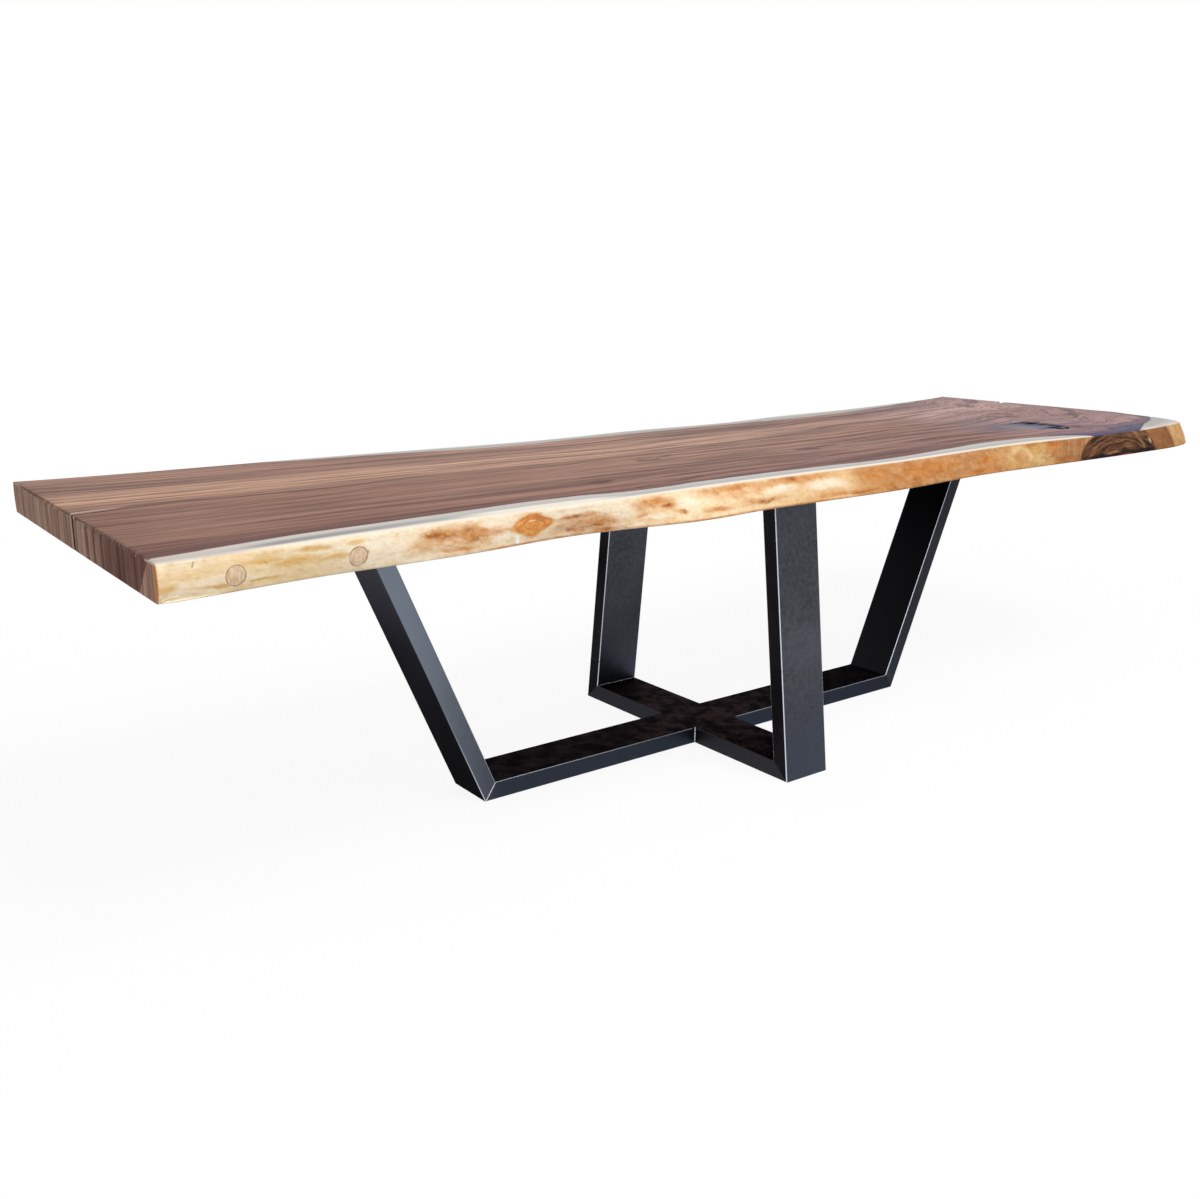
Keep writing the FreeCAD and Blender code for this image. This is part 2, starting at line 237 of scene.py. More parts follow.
def grain(x, y, z, detail=2.0, roughness=0.5):
    """Noise at a place whose three parts are stretched to suit."""
    return noise(vector(x, y, z), 1.0, detail, roughness)


def smooth(value, low, high):
    """0 below low, 1 above high and a soft step between; low may be the greater."""
    return value.nodes.node("MapRange", {"Value": value, "From Min": low, "From Max": high},
                            interpolation_type="SMOOTHSTEP")


def between(value, low, low_end, high_end, high):
    """0 below low, a soft step up to 1 at low_end, and down again from high_end to high."""
    return smooth(value, low, low_end) * smooth(value, high, high_end)


def mix(factor, first, second, blend="MIX"):
    nodes = nodes_of(factor, first, second)
    return nodes.node("Mix", {0: factor, 6: first, 7: second}, output=2, data_type="RGBA", blend_type=blend)


def tint(colour, other):
    """A colour multiplied by another."""
    return mix(1.0, colour, other, "MULTIPLY")


def lay(base, factor, red, green, blue):
    """An sRGB colour laid over a base."""
    return mix(factor, base, paint(red, green, blue))


def stain(base, factor, red, green, blue):
    """A base darkened where factor is high, to its own share of each channel."""
    return mix(factor, base, tint(base, (red, green, blue, 1.0)))


def ramp(value, stops):
    return value.nodes.node("ValToRGB", [value], stops=stops)


def tones(value, stops):
    """Ramp through sRGB colours: each stop is its place, red, green and blue."""
    return ramp(value, [(place, paint(*colour)) for place, *colour in stops])


def share(x):
    """How far along the span a place lies: 0 at its start and 1 at its end."""
    return (x - SPAN_START) / (SPAN_END - SPAN_START)


def along(x, points):
    """Height of a curve of (along X, across Y) places at each point's own X."""
    low = min(across for _, across in points)
    high = max(across for _, across in points)
    scaled = [(share(place), (across - low) / (high - low)) for place, across in points]
    curve = x.nodes.node("FloatCurve", {"Value": share(x)}, points=scaled)
    return curve * (high - low) + low


# ---- marks ----

def spot(u, v, mark, core=0.55):
    """Soft oval mark, given by its middle and half sizes: 1 inside its core and 0 outside."""
    middle_u, middle_v, half_u, half_v = mark
    across = (u - middle_u) / half_u
    up = (v - middle_v) / half_v
    return smooth((across * across + up * up) ** 0.5, 1.15, core)


def stroke(u, v, mark, core=0.4):
    """Soft straight mark, given by its start, its end and its half width; full in its core."""
    start_u, start_v, end_u, end_v, reach = mark
    run_u = end_u - start_u
    run_v = end_v - start_v
    past = ((u - start_u) * run_u + (v - start_v) * run_v) / (run_u * run_u + run_v * run_v)
    past = past.math("MAXIMUM", 0.0).math("MINIMUM", 1.0)
    off_u = u - start_u - past * run_u
    off_v = v - start_v - past * run_v
    return smooth((off_u * off_u + off_v * off_v) ** 0.5, reach, reach * core)


def any_of(values):
    """The greatest of several values."""
    whole = values[0]
    for value in values[1:]:
        whole = whole.math("MAXIMUM", value)
    return whole


def spots(u, v, marks, core=0.55):
    return any_of([spot(u, v, mark, core) for mark in marks])


def strokes(u, v, marks, core=0.4):
    return any_of([stroke(u, v, mark, core) for mark in marks])


# ---- steel ----

BLACK_SHEEN = (0.25, 0.25, 0.27, 1.0)  # tint of blackened metal's mirroring where it is seen aslant


def bar_mask(along_bar, across_bar, z, foot, mitre):
    """1 on a floor bar, up to its mitres, and 0 on the legs."""
    before_mitre = smooth(abs(along_bar) + z * mitre, foot + 0.0005, foot - 0.0005)
    return before_mitre * smooth(abs(across_bar), 0.1, 0.08) * smooth(z, BAR_DEPTH + 0.002, BAR_DEPTH)


def blackened_steel():
    """Black steel under wax: cloudy oxide and scuffs, with painted light: the faces across the board a
    lighter blue-grey, the legs lit and shaded apart, a painted warm sheen on the top faces, and painted
    highlights on the worn corners.
    """
    steel = Finish("blackened_steel")
    x, y, z = steel.x, steel.y, steel.z
    facing_x, facing_y, facing_z = [steel.facing(axis) for axis in "XYZ"]
    cloud = noise(steel.place, 5.0, 4.0, 0.6)
    fine = noise(steel.place, 70.0, 4.0, 0.65)
    grit = noise(steel.place, 900.0, 2.0)
    patchy = smooth(cloud, 0.3, 0.7)
    long_bar = bar_mask(x, y, z, LONG_FOOT, LONG_MITRE)
    cross_bar = bar_mask(y, x, z, CROSS_FOOT, CROSS_MITRE)
    off_centre = abs(x).math("MAXIMUM", abs(y))
    centre = smooth(off_centre, 0.5, 0.15)
    left_leg = smooth(x, -0.5, -0.74)
    right_leg = smooth(x, 0.5, 0.8)
    black = mix(patchy, paint(30, 28, 30), paint(40, 39, 42))
    # Painted light and shade: the left leg lighter towards its top, the right leg darker.
    left_leg_painted_light = tones(z / TOP, [(0.05, 44, 44, 46), (0.5, 64, 64, 68), (0.9, 102, 101, 104)])
    black = mix(left_leg, black, left_leg_painted_light)
    black = lay(black, right_leg * 0.8, 20, 20, 24)
    black = lay(black, cross_bar, 54, 53, 58)
    # Top faces: wax smears, and a painted warm sheen where they would mirror the board's underside, warmest
    # at the cross.
    smears = smooth(noise(vector(x * 7.0, y * 7.0, z), 3.0, 5.0, 0.65), 0.38, 0.62)
    wax_and_top_sheen = mix(smears, paint(42, 41, 43), paint(60, 55, 55))
    wax_and_top_sheen = mix(centre, wax_and_top_sheen, mix(smears, paint(56, 52, 54), paint(80, 72, 70)))
    black = mix(smooth(facing_z, 0.8, 0.95), black, wax_and_top_sheen)
    mill = grain(x * 90.0, y * 20.0, z * 90.0, 3.0, 0.6)
    # Painted light: the faces across the board get a lighter blue-grey, as where the front lamp falls;
    # lighter still on the left leg, darker on the right leg, the back leg and the long bar, and bluer low
    # down.
    painted_lit_slate = mix(patchy, paint(64, 65, 70), paint(80, 82, 89))
    painted_lit_slate = lay(painted_lit_slate, smooth(mill, 0.35, 0.65) * 0.25, 104, 106, 112)
    painted_lit_slate = lay(painted_lit_slate, smooth(z, 0.3, 0.05) * 0.7, 66, 71, 83)
    painted_lit_slate = lay(painted_lit_slate, long_bar, 50, 54, 64)
    painted_lit_slate = lay(painted_lit_slate, smooth(x, -0.66, -0.96), 122, 131, 144)
    painted_lit_slate = lay(painted_lit_slate, right_leg * 0.7, 46, 46, 50)
    painted_lit_slate = lay(painted_lit_slate, smooth(y, 0.1, 0.3) * 0.2, 38, 40, 47)
    tone = mix(smooth(facing_y, 0.55, 0.9), black, painted_lit_slate)
    scuffs = grain(x * 9.0, y * 26.0, z * 9.0, 3.0, 0.7)
    scuffed = smooth(abs(scuffs - 0.57), 0.01, 0.0) * smooth(fine, 0.52, 0.64)
    tone = lay(tone, scuffed * 0.3 * (1.0 - right_leg), 104, 105, 109)
    # Pale corner lines: partly worn bare metal, partly painted highlights where the rounded corners would
    # catch the lamps; none on the left leg.
    upright_corner = smooth(facing_x * facing_y, 0.14, 0.34) * smooth(x, -0.86, -0.66)
    level_corner = smooth(facing_y * facing_z, 0.24, 0.45) * smooth(off_centre, 0.076, 0.084) * 0.45
    worn_corner_highlight = upright_corner.math("MAXIMUM", level_corner) * smooth(fine, 0.18, 0.4)
    tone = lay(tone, worn_corner_highlight, 210, 218, 230)
    bump = steel.node("Bump", {"Strength": 0.15, "Distance": 0.0004, "Height": grit})
    return steel.dress(Base_Color=tone, Metallic=1.0, Roughness=0.36 + 0.14 * cloud, Normal=bump,
                       Specular_Tint=BLACK_SHEEN)


def clouded_metal(name, grit, dark, light, roughness, plain=False, **parts):
    """Metal clouded from one colour to another, less so when plain; parts go to its shader as they are."""
    metal = Finish(name)
    cloud = noise(metal.place, grit, 3.0)
    clouded = cloud if plain else smooth(cloud, 0.35, 0.65)
    tone = mix(clouded, paint(*dark), paint(*light))
    return metal.dress(Base_Color=tone, Roughness=roughness + 0.2 * cloud, **parts)


# ---- wood ----

# The front live face's own colour: where along X, and its red, green and blue there.
FACE_TONES = [
    (-1.6, 249, 231, 202), (-1.38, 252, 234, 201), (-1.2, 253, 238, 213), (-1.0, 248, 228, 198),
    (-0.75, 253, 239, 216), (-0.5, 249, 226, 190), (-0.15, 235, 203, 159), (0.01, 231, 197, 152),
    (0.06, 209, 160, 110), (0.2, 204, 154, 106), (0.62, 202, 154, 106), (0.7, 210, 168, 116),
    (0.78, 213, 180, 128), (0.862, 212, 181, 132), (0.888, 190, 145, 102), (0.92, 188, 143, 101),
    (1.07, 184, 137, 98), (1.42, 152, 106, 68), (1.52, 144, 98, 62), (1.545, 206, 168, 122),
    (1.75, 214, 178, 130)]

# Marks on the front live face: where along X, their height, and the half length and height of each.
RUSSET_PATCHES = [
    (-1.086, 0.752, 0.03, 0.01), (-1.055, 0.746, 0.055, 0.012), (-1.008, 0.744, 0.036, 0.019),
    (-0.98, 0.744, 0.05, 0.01), (-0.945, 0.739, 0.035, 0.006), (-1.04, 0.72, 0.042, 0.006),
    (-0.765, 0.7455, 0.06, 0.008), (-0.728, 0.7245, 0.092, 0.018), (-0.685, 0.7125, 0.06, 0.006),
    (-0.585, 0.753, 0.075, 0.013), (-0.535, 0.744, 0.03, 0.008), (-0.5, 0.728, 0.022, 0.007),
    (-0.605, 0.728, 0.018, 0.004), (-0.405, 0.726, 0.06, 0.007), (-0.35, 0.762, 0.12, 0.008),
    (-0.265, 0.727, 0.075, 0.009), (-0.15, 0.759, 0.11, 0.01), (0.02, 0.718, 0.15, 0.008),
    (0.12, 0.748, 0.06, 0.02), (0.33, 0.742, 0.15, 0.022), (0.56, 0.72, 0.09, 0.01),
    (0.59, 0.74, 0.07, 0.014), (0.905, 0.753, 0.03, 0.012)]
RUSSET_HAZE = [
    (-1.05, 0.738, 0.105, 0.03), (-0.985, 0.74, 0.085, 0.022), (-0.738, 0.731, 0.098, 0.024),
    (-0.56, 0.746, 0.09, 0.018), (-0.3, 0.752, 0.19, 0.015)]
DIAMOND_PATCH = (-0.868, 0.742, 0.052, 0.025)
UMBER_SPOTS = [
    (-1.084, 0.748, 0.024, 0.007), (-1.052, 0.744, 0.026, 0.005), (-1.012, 0.752, 0.014, 0.006),
    (-0.997, 0.736, 0.012, 0.006), (-0.765, 0.7455, 0.04, 0.003), (-0.778, 0.7205, 0.012, 0.007),
    (-0.72, 0.722, 0.045, 0.003), (-0.68, 0.7125, 0.026, 0.0025), (-0.535, 0.744, 0.014, 0.005),
    (-0.498, 0.729, 0.012, 0.005), (-0.262, 0.727, 0.04, 0.005), (-0.243, 0.725, 0.012, 0.005),
    (-0.165, 0.76, 0.02, 0.006), (0.04, 0.716, 0.06, 0.004), (0.905, 0.756, 0.018, 0.004)]
CREAM_PATCHES = [
    (-1.215, 0.745, 0.06, 0.015), (-0.945, 0.756, 0.04, 0.009), (-0.935, 0.726, 0.03, 0.007),
    (-0.48, 0.745, 0.05, 0.012), (-0.565, 0.723, 0.045, 0.006), (-0.65, 0.744, 0.046, 0.016),
    (-0.205, 0.745, 0.07, 0.009), (-0.06, 0.742, 0.085, 0.014)]
OCHRE_STREAKS = [
    (-1.405, 0.749, 0.05, 0.006), (-1.345, 0.742, 0.06, 0.009), (-1.272, 0.738, 0.05, 0.006),
    (-1.475, 0.7235, 0.055, 0.005), (-1.556, 0.728, 0.022, 0.008), (-1.32, 0.757, 0.04, 0.005),
    (-1.236, 0.757, 0.026, 0.006), (-1.4, 0.722, 0.045, 0.004)]

# Knots on the top: where along X and across Y, and the half length and width of each dark core.
KNOTS = [
    (-0.262, -0.085, 0.05, 0.034), (0.215, -0.17, 0.06, 0.02), (-0.57, -0.3, 0.036, 0.016),
    (0.868, 0.062, 0.055, 0.022), (1.543, -0.03, 0.06, 0.045)]

# Thin dark marks on the top: where each starts and ends, along X and across Y, and its half width.
TOP_NICKS = [
    (-0.29, -0.087, -0.247, -0.092, 0.019), (-0.245, -0.088, -0.15, -0.046, 0.012),
    (-0.557, -0.236, -0.327, -0.227, 0.012), (-0.585, -0.302, -0.535, -0.298, 0.012),
    (0.171, -0.156, 0.238, -0.17, 0.018), (0.262, -0.15, 0.33, -0.144, 0.015),
    (-0.548, -0.405, -0.33, -0.362, 0.01)]

# The same for the closed part of the left drying check, and for the dark seam that runs on from it.
SLIT = (-1.53, -0.0595, -1.34, -0.026, 0.007)
SEAM = [
    (-1.35, -0.032, -1.15, -0.044, 0.01), (-1.15, -0.044, -1.0, -0.036, 0.013),
    (-1.0, -0.036, -0.85, -0.014, 0.013), (-0.85, -0.014, -0.6, 0.006, 0.01)]

# The same for the painted shadow along the resin's far side, in its recess, on the wood and in the resin,
# with the core of each.
WOOD_RIM_SHADOW = [
    (1.244, -0.102, 1.262, -0.126, 0.022, 0.6), (1.262, -0.126, 1.263, -0.172, 0.016, 0.5),
    (1.263, -0.172, 1.25, -0.214, 0.015, 0.5), (1.25, -0.214, 1.265, -0.268, 0.016, 0.4)]
RESIN_RIM_SHADOW = [
    (1.238, -0.102, 1.248, -0.122, 0.024, 0.7), (1.246, -0.112, 1.238, -0.256, 0.012, 0.6),
    (1.235, -0.256, 1.203, -0.283, 0.01, 0.6), (1.2, -0.222, 1.183, -0.282, 0.014, 0.5)]

# The burl on the front face: the foot of its fan of rings, its half width and its height.
BURL_X = 1.222
BURL_Z = 0.703
BURL_HALF = 0.212
BURL_HEIGHT = 0.077


def heart_grain(x, y, z, across):
    """Lane of the grain at each point: lines of one lane are one growth layer."""
    sway = grain(x * 1.1, across * 2.6, 0.0)
    lane = across + (sway - 0.5) * 0.06 + (z - TOP) * 0.28
    lane = lane - smooth(x, 0.7, 1.75) * spot(x, across, (1.75, 0.62, 1.4, 0.5), 0.0) * 0.09
    for knot_x, knot_y, half_length, half_width in KNOTS:
        round_knot = spot(x, y, (knot_x, knot_y, half_length * 4.0, half_width * 3.0), 0.0)
        lane = lane - (y - knot_y) * round_knot * 0.55
    return lane


def heartwood(x, z, lane):
    """Brown heartwood: broad bands, streaks, thin dark veins and pore lines, swirling near the burl."""
    wild = smooth(x - (lane - 0.5) * 0.35, 1.05, 1.5)
    eddy = grain(x * 4.2, lane * 5.0, z, 3.0, 0.55)
    lane = lane + (eddy - 0.5) * wild * 0.4
    bands = grain(x * 0.35, lane * 9.0, z * 1.5)
    streaks = grain(x, lane * 30.0, z * 4.0, 5.0, 0.75)
    fine = grain(x * 2.4, lane * 64.0, z * 6.0, 5.0, 0.75)
    figure = 0.5 + (bands - 0.5) * 0.45 + (streaks - 0.5) * 1.35 + (fine - 0.5) * 1.35
    figure = figure + (figure - 0.5) * (smooth(x, -0.8, 0.2) * 0.7 - wild * 0.5)
    tone = tones(lane, [
        (0.0, 128, 95, 87), (0.12, 134, 100, 89), (0.3, 140, 107, 93), (0.47, 143, 108, 92),
        (0.535, 142, 106, 90), (0.565, 170, 133, 111), (0.63, 194, 154, 128), (0.71, 170, 133, 112),
        (0.78, 146, 111, 94), (0.9, 156, 120, 102), (1.0, 142, 108, 94)])
    tone = lay(tone, smooth(x, -0.5, 0.5) * smooth(lane, 0.5, 0.58) * 0.58, 148, 114, 98)
    hue = grain(x * 0.7, lane * 17.0, 5.0)
    tone = stain(tone, smooth(hue, 0.35, 0.65) * 0.4, 1.0, 0.9, 0.9)
    shade = ramp(figure, [
        (0.18, (0.4, 0.36, 0.38, 1.0)), (0.34, (0.66, 0.63, 0.64, 1.0)), (0.46, (0.9, 0.89, 0.89, 1.0)),
        (0.56, (1.06, 1.06, 1.05, 1.0)), (0.68, (1.22, 1.22, 1.2, 1.0)), (0.84, (1.4, 1.39, 1.34, 1.0))])
    tone = tint(tone, shade)
    vein_path = grain(x * 0.5, lane * 15.0, 9.0, 3.0, 0.6)
    veins = smooth(abs(vein_path - 0.5), 0.045, 0.01) * smooth(streaks, 0.6, 0.45)
    tone = lay(tone, veins * 0.55, 88, 62, 60)
    dashes = grain(x * 3.2, lane * 58.0, 3.0, 3.0, 0.6)
    tone = lay(tone, smooth(dashes, 0.6, 0.7) * 0.45, 92, 66, 62)
    hairs = grain(x * 1.1, lane * 30.0, 13.0)
    tone = lay(tone, smooth(abs(hairs - 0.5), 0.04, 0.008) * 0.2, 94, 68, 64)
    lilac = ramp(share(x), [
        (0.2, WHITE), (0.45, (1.05, 1.12, 1.18, 1.0)), (0.68, (1.03, 1.06, 1.12, 1.0)),
        (0.8, (1.1, 1.25, 1.6, 1.0)), (1.0, (1.15, 1.32, 1.75, 1.0))])
    return tint(tone, lilac), figure


def live_face(x, z):
    """Front live face: creamy sapwood at the left, turning to tan and then to burl on the right."""
    base = tones(share(x), [(share(place), *colour) for place, *colour in FACE_TONES])
    drift_u = grain(x * 9.0, 3.0, z * 16.0, 5.0, 0.65) - 0.5
    drift_v = grain(x * 9.0, 7.0, z * 16.0, 5.0, 0.65) - 0.5
    u = x + drift_u * 0.09
    v = z + drift_v * 0.03
    mottle = grain(x * 14.0, 0.0, z * 30.0, 6.0, 0.7)
    clouds = grain(x * 6.0, 17.0, z * 15.0, 5.0, 0.62)
    wool = grain(x * 110.0 + z * 60.0, 0.0, z * 150.0, 3.0, 0.6)
    cloudy = smooth(clouds, 0.5, 0.64) * 0.6 * smooth(x, -1.3, -0.7)
    base = stain(base, cloudy, 0.86, 0.66, 0.42)
    base = stain(base, smooth(mottle, 0.46, 0.66) * 0.75, 0.84, 0.71, 0.53)
    ochre = grain(x * 4.0, 11.0, z * 34.0, 4.0, 0.6)
    golden = smooth(ochre, 0.46, 0.6) * smooth(x, -1.18, -1.32)
    base = lay(base, golden * 0.42, 231, 192, 124)
    honey = spots(u, v, OCHRE_STREAKS, 0.2)
    base = lay(base, honey * 0.85, 224, 180, 106)
    speck = grain(x * 42.0 + z * 20.0, 0.0, z * 80.0, 4.0, 0.7)
    tufts = smooth(mottle * 0.5 + speck * 0.5, 0.4, 0.58)
    haze = spots(u, v, RUSSET_HAZE, 0.3)
    base = lay(base, haze * (0.35 + tufts * 0.35), 219, 162, 106)
    russet = spots(u, v, RUSSET_PATCHES, 0.35)
    base = lay(base, russet * (0.5 + tufts * 0.45), 205, 138, 76)
    cells = x.nodes.node("TexVoronoi", {"Vector": vector(u * 34.0, 0.0, v * 60.0), "Scale": 1.0})
    cells = smooth(cells, 0.35, 0.75) * smooth(x, 0.02, 0.2)
    base = stain(base, cells * 0.6, 0.78, 0.62, 0.46)
    curls = grain(x * 21.0, 31.0, z * 36.0, 4.0, 0.65)
    curls = smooth(curls, 0.5, 0.62) * between(x, 0.02, 0.12, 0.9, 1.0)
    base = stain(base, curls * 0.6, 0.8, 0.64, 0.48)
    middle_x, middle_z, half_length, half_height = DIAMOND_PATCH
    across = abs(x + drift_u * 0.05 - middle_x) / half_length
    up = abs(z + drift_v * 0.022 - middle_z - (x - middle_x) * 0.07) / half_height
    kite = (across ** 1.35 + up ** 1.35) ** 0.74
    layers = grain(kite * 5.0, x * 46.0, z * 60.0, 5.0, 0.75)
    amber = mix(smooth(layers, 0.38, 0.62), paint(200, 118, 48), paint(238, 168, 88))
    amber = lay(amber, spot(u, v, (-0.846, 0.757, 0.04, 0.01), 0.2) * 0.75, 184, 102, 46)
    base = mix(smooth(kite + (speck - 0.5) * 0.5, 1.08, 0.8) * 0.95, base, amber)
    # Painted glint: a small pale highlight on the diamond patch.
    base = lay(base, spot(x, z, (-0.868, 0.75, 0.009, 0.002)) * 0.6, 250, 226, 196)
    cream = spots(u, v, CREAM_PATCHES, 0.2)
    base = lay(base, cream * 0.82, 253, 240, 218)
    umber = spots(u, v, UMBER_SPOTS, 0.1)
    base = lay(base, umber * (0.35 + tufts * 0.4), 140, 84, 48)
    ticks = any_of([stroke(x, z, (-1.517, 0.7575, -1.5145, 0.7635, 0.0022)),
                    spot(x, z, (-1.2155, 0.739, 0.0036, 0.0042))])
    base = lay(base, ticks * 0.5, 120, 88, 58)
    hem = smooth(z + (mottle - 0.5) * 0.004, FOOT + 0.0065, FOOT + 0.004)
    hem = hem * between(x, -1.02, -0.96, -0.1, 0.1)
    base = lay(base, hem * (0.35 + tufts * 0.4), 206, 130, 66)
    ring = spot(u, v, (0.745, 0.735, 0.075, 0.036), 0.0)
    base = lay(base, smooth(ring, 0.5, 0.8) * (0.2 + tufts * 0.5), 192, 136, 88)
    eye = smooth(abs(ring - 0.36), 0.34, 0.06) * smooth(z, 0.722, 0.738)
    base = lay(base, eye * (0.55 - tufts * 0.3), 234, 206, 158)
    chip = stroke(x, z, (-0.901, 0.7145, -0.903, 0.7225, 0.005), 0.7)
    base = lay(base, chip, 255, 252, 246)
    woolly = tint(base, (0.82, 0.7, 0.54, 1.0))
    base = mix(smooth(speck, 0.5, 0.66) * 0.6, base, woolly)
    return mix(smooth(wool, 0.35, 0.65) * 0.3, base, woolly), mottle


def back_face(x, z, mottle):
    """Back live face: cream sapwood with long honey streaks, browner towards the right end."""
    streak = grain(x * 3.0, 21.0, z * 38.0, 5.0, 0.65)
    cloud = grain(x * 5.0, 25.0, z * 12.0, 4.0, 0.6)
    base = mix(smooth(x + (cloud - 0.5) * 1.6, -0.4, 1.4), paint(246, 226, 192), paint(204, 154, 102))
    base = stain(base, smooth(streak, 0.48, 0.6) * 0.7, 0.84, 0.66, 0.42)
    patches = smooth(cloud, 0.56, 0.66) * smooth(mottle, 0.38, 0.56)
    base = lay(base, patches * 0.75, 198, 132, 76)
    return lay(base, smooth(streak, 0.42, 0.32) * 0.6, 252, 240, 218)


def burl_face(x, z, base):
    """Dark burl on the front face with its fan of rings, and the slanted straight grain beside it."""
    drift = grain(x * 12.0, 1.0, z * 26.0, 4.0, 0.6) - 0.5
    bend = grain(x * 5.0, 4.0, z * 11.0) - 0.5
    steep = smooth(x, 1.12, 1.32)
    du = (x - BURL_X) / (BURL_HALF - steep * 0.027)
    dv = (z - BURL_Z) / (BURL_HEIGHT + steep * 0.048)
    far = (du * du + dv * dv) ** 0.5
    fan_u = (x - BURL_X + 0.02) / 0.2
    fan_v = (z - BURL_Z + 0.012) / 0.075
    wavy = (fan_u * fan_u + fan_v * fan_v) ** 0.5 + drift * 0.3 + bend * 0.55
    rings = grain(wavy * 11.0, (x - BURL_X) * 11.0, z * 16.0, 5.0, 0.7)
    dark = tones(rings, [(0.36, 36, 22, 15), (0.46, 74, 47, 32), (0.56, 106, 71, 47), (0.68, 140, 99, 66)])
    band = smooth(abs(far + drift * 0.16 - 0.7), 0.05, 0.01) * smooth(x, 1.24, 1.31)
    dark = lay(dark, band * 0.6, 160, 120, 82)
    lines = grain((x - (z - FOOT) * 0.75) * 95.0, 0.0, z * 5.0, 3.0, 0.6)
    straight = between(x, 0.9, 0.96, 1.46, 1.56) * smooth(lines, 0.42, 0.6)
    base = lay(base, straight * 0.6, 142, 94, 58)
    inside = smooth(far + drift * 0.05, 1.04, 1.0)
    base = mix(inside, base, dark)
    # Painted shade: two small hollows in the burl drawn near-black, as if in shadow.
    hollow_shade = spots(x + drift * 0.03, z + drift * 0.012,
                   [(1.237, 0.722, 0.016, 0.009), (1.112, 0.714, 0.02, 0.007)])
    base = lay(base, hollow_shade * 0.9, 34, 32, 31)
    pale_knot = spot(x + drift * 0.03, z + drift * 0.02, (1.388, 0.737, 0.011, 0.011), 0.2)
    base = lay(base, pale_knot * 0.8, 196, 164, 124)
    base = lay(base, spot(x + drift * 0.02, z, (1.525, 0.74, 0.012, 0.05)) * 0.6, 104, 64, 38)
    wedge = spot(x + drift * 0.04, z - (x - 1.18) * 0.05 + drift * 0.01, (1.175, 0.7195, 0.036, 0.0042))
    base = lay(base, wedge * 0.75, 160, 114, 78)
    # Darker along the foot of the burl face, with an orange line at its very foot.
    dark_foot_band = smooth(z + drift * 0.022, FOOT + 0.015, FOOT + 0.008)
    dark_foot_band = dark_foot_band * between(x, 1.02, 1.07, 1.38, 1.44)
    ember = dark_foot_band * spot(x, z + drift * 0.012, (1.24, FOOT + 0.004, 0.04, 0.003))
    base = lay(base, dark_foot_band, 24, 15, 12)
    return lay(base, ember * 0.7, 140, 66, 34)


def heart_marks(x, y, heart, figure):
    """Cores of the knots, the seam that runs on from the drying check, a painted glint beside its mouth, the
    dark blue-grey patch by the resin, and painted shadow along the resin's far rim.
    """
    ragged = y + (figure - 0.5) * 0.03
    torn = y + (figure - 0.5) * 0.06 + (x * 9.0).math("SINE") * 0.01
    cores = spots(x, torn, KNOTS, 0.1)
    heart = lay(heart, cores * (0.3 + smooth(figure, 0.62, 0.42) * 0.6), 76, 60, 60)
    nicks = strokes(x, ragged, TOP_NICKS, 0.0)
    torn_nicks = smooth(nicks + (0.5 - figure) * 0.8, 0.25, 0.95)
    heart = lay(heart, torn_nicks * smooth(nicks, 0.0, 0.3) * 0.85, 66, 48, 49)
    wander = y + (figure - 0.5) * 0.01 + (grain(x * 9.0, 0.0, 0.0) - 0.5) * 0.02
    seam = any_of([stroke(x, y, SLIT), strokes(x, wander, SEAM)])
    heart = lay(heart, seam * smooth(x, -0.6, -1.05) * 0.75, 78, 57, 58)
    glint = stroke(x, y, (-1.566, -0.046, -1.44, -0.02, 0.007))
    heart = lay(heart, glint * smooth(x, -1.44, -1.52) * 0.7, 196, 178, 170)
    streak = grain(x * 2.5, y * 46.0, 2.0, 3.0, 0.6)
    bloom = spots(x, y, [(1.05, -0.14, 0.2, 0.13), (1.14, 0.02, 0.1, 0.07)], 0.0)
    heart = lay(heart, bloom * (0.35 + smooth(streak, 0.4, 0.58) * 0.5), 92, 90, 106)
    tail = strokes(x, ragged, [(1.26, -0.2, 1.46, -0.19, 0.03), (1.23, -0.29, 1.52, -0.3, 0.035)], 0.0)
    heart = lay(heart, tail * 0.6, 96, 86, 104)
    # Painted shadow in the resin's recess, along its far rim on the wood.
    rim = any_of([stroke(x, y, mark, core) for *mark, core in WOOD_RIM_SHADOW])
    return lay(heart, rim * 0.9, 22, 20, 25)


def front_sapwood(x, depth):
    """Pale strip along the front of the top, from its inner border at depth 0 to the arris at 1."""
    sap = tones(depth, [
        (0.0, 184, 178, 173), (0.14, 208, 204, 198), (0.32, 196, 191, 186), (0.48, 160, 157, 156),
        (0.66, 150, 150, 153), (0.78, 184, 181, 178), (0.88, 240, 231, 216)])
    sap = lay(sap, smooth(x, -1.36, -1.47) * 0.85, 208, 201, 194)
    plainer = smooth(x, -1.28, -0.95) * smooth(depth, 0.95, 0.75)
    sap = lay(sap, plainer * 0.72, 192, 192, 190)
    warm = between(x, -1.05, -0.93, -0.72, -0.6) * smooth(depth, 0.42, 0.6)
    sap = lay(sap, warm, 238, 230, 218)
    corner = mix(smooth(depth, 0.35, 0.85), paint(172, 171, 166), paint(204, 198, 192))
    sap = mix(smooth(x, 1.42, 1.5) * 0.85, sap, corner)
    return tint(sap, (0.93, 0.91, 0.9, 1.0))


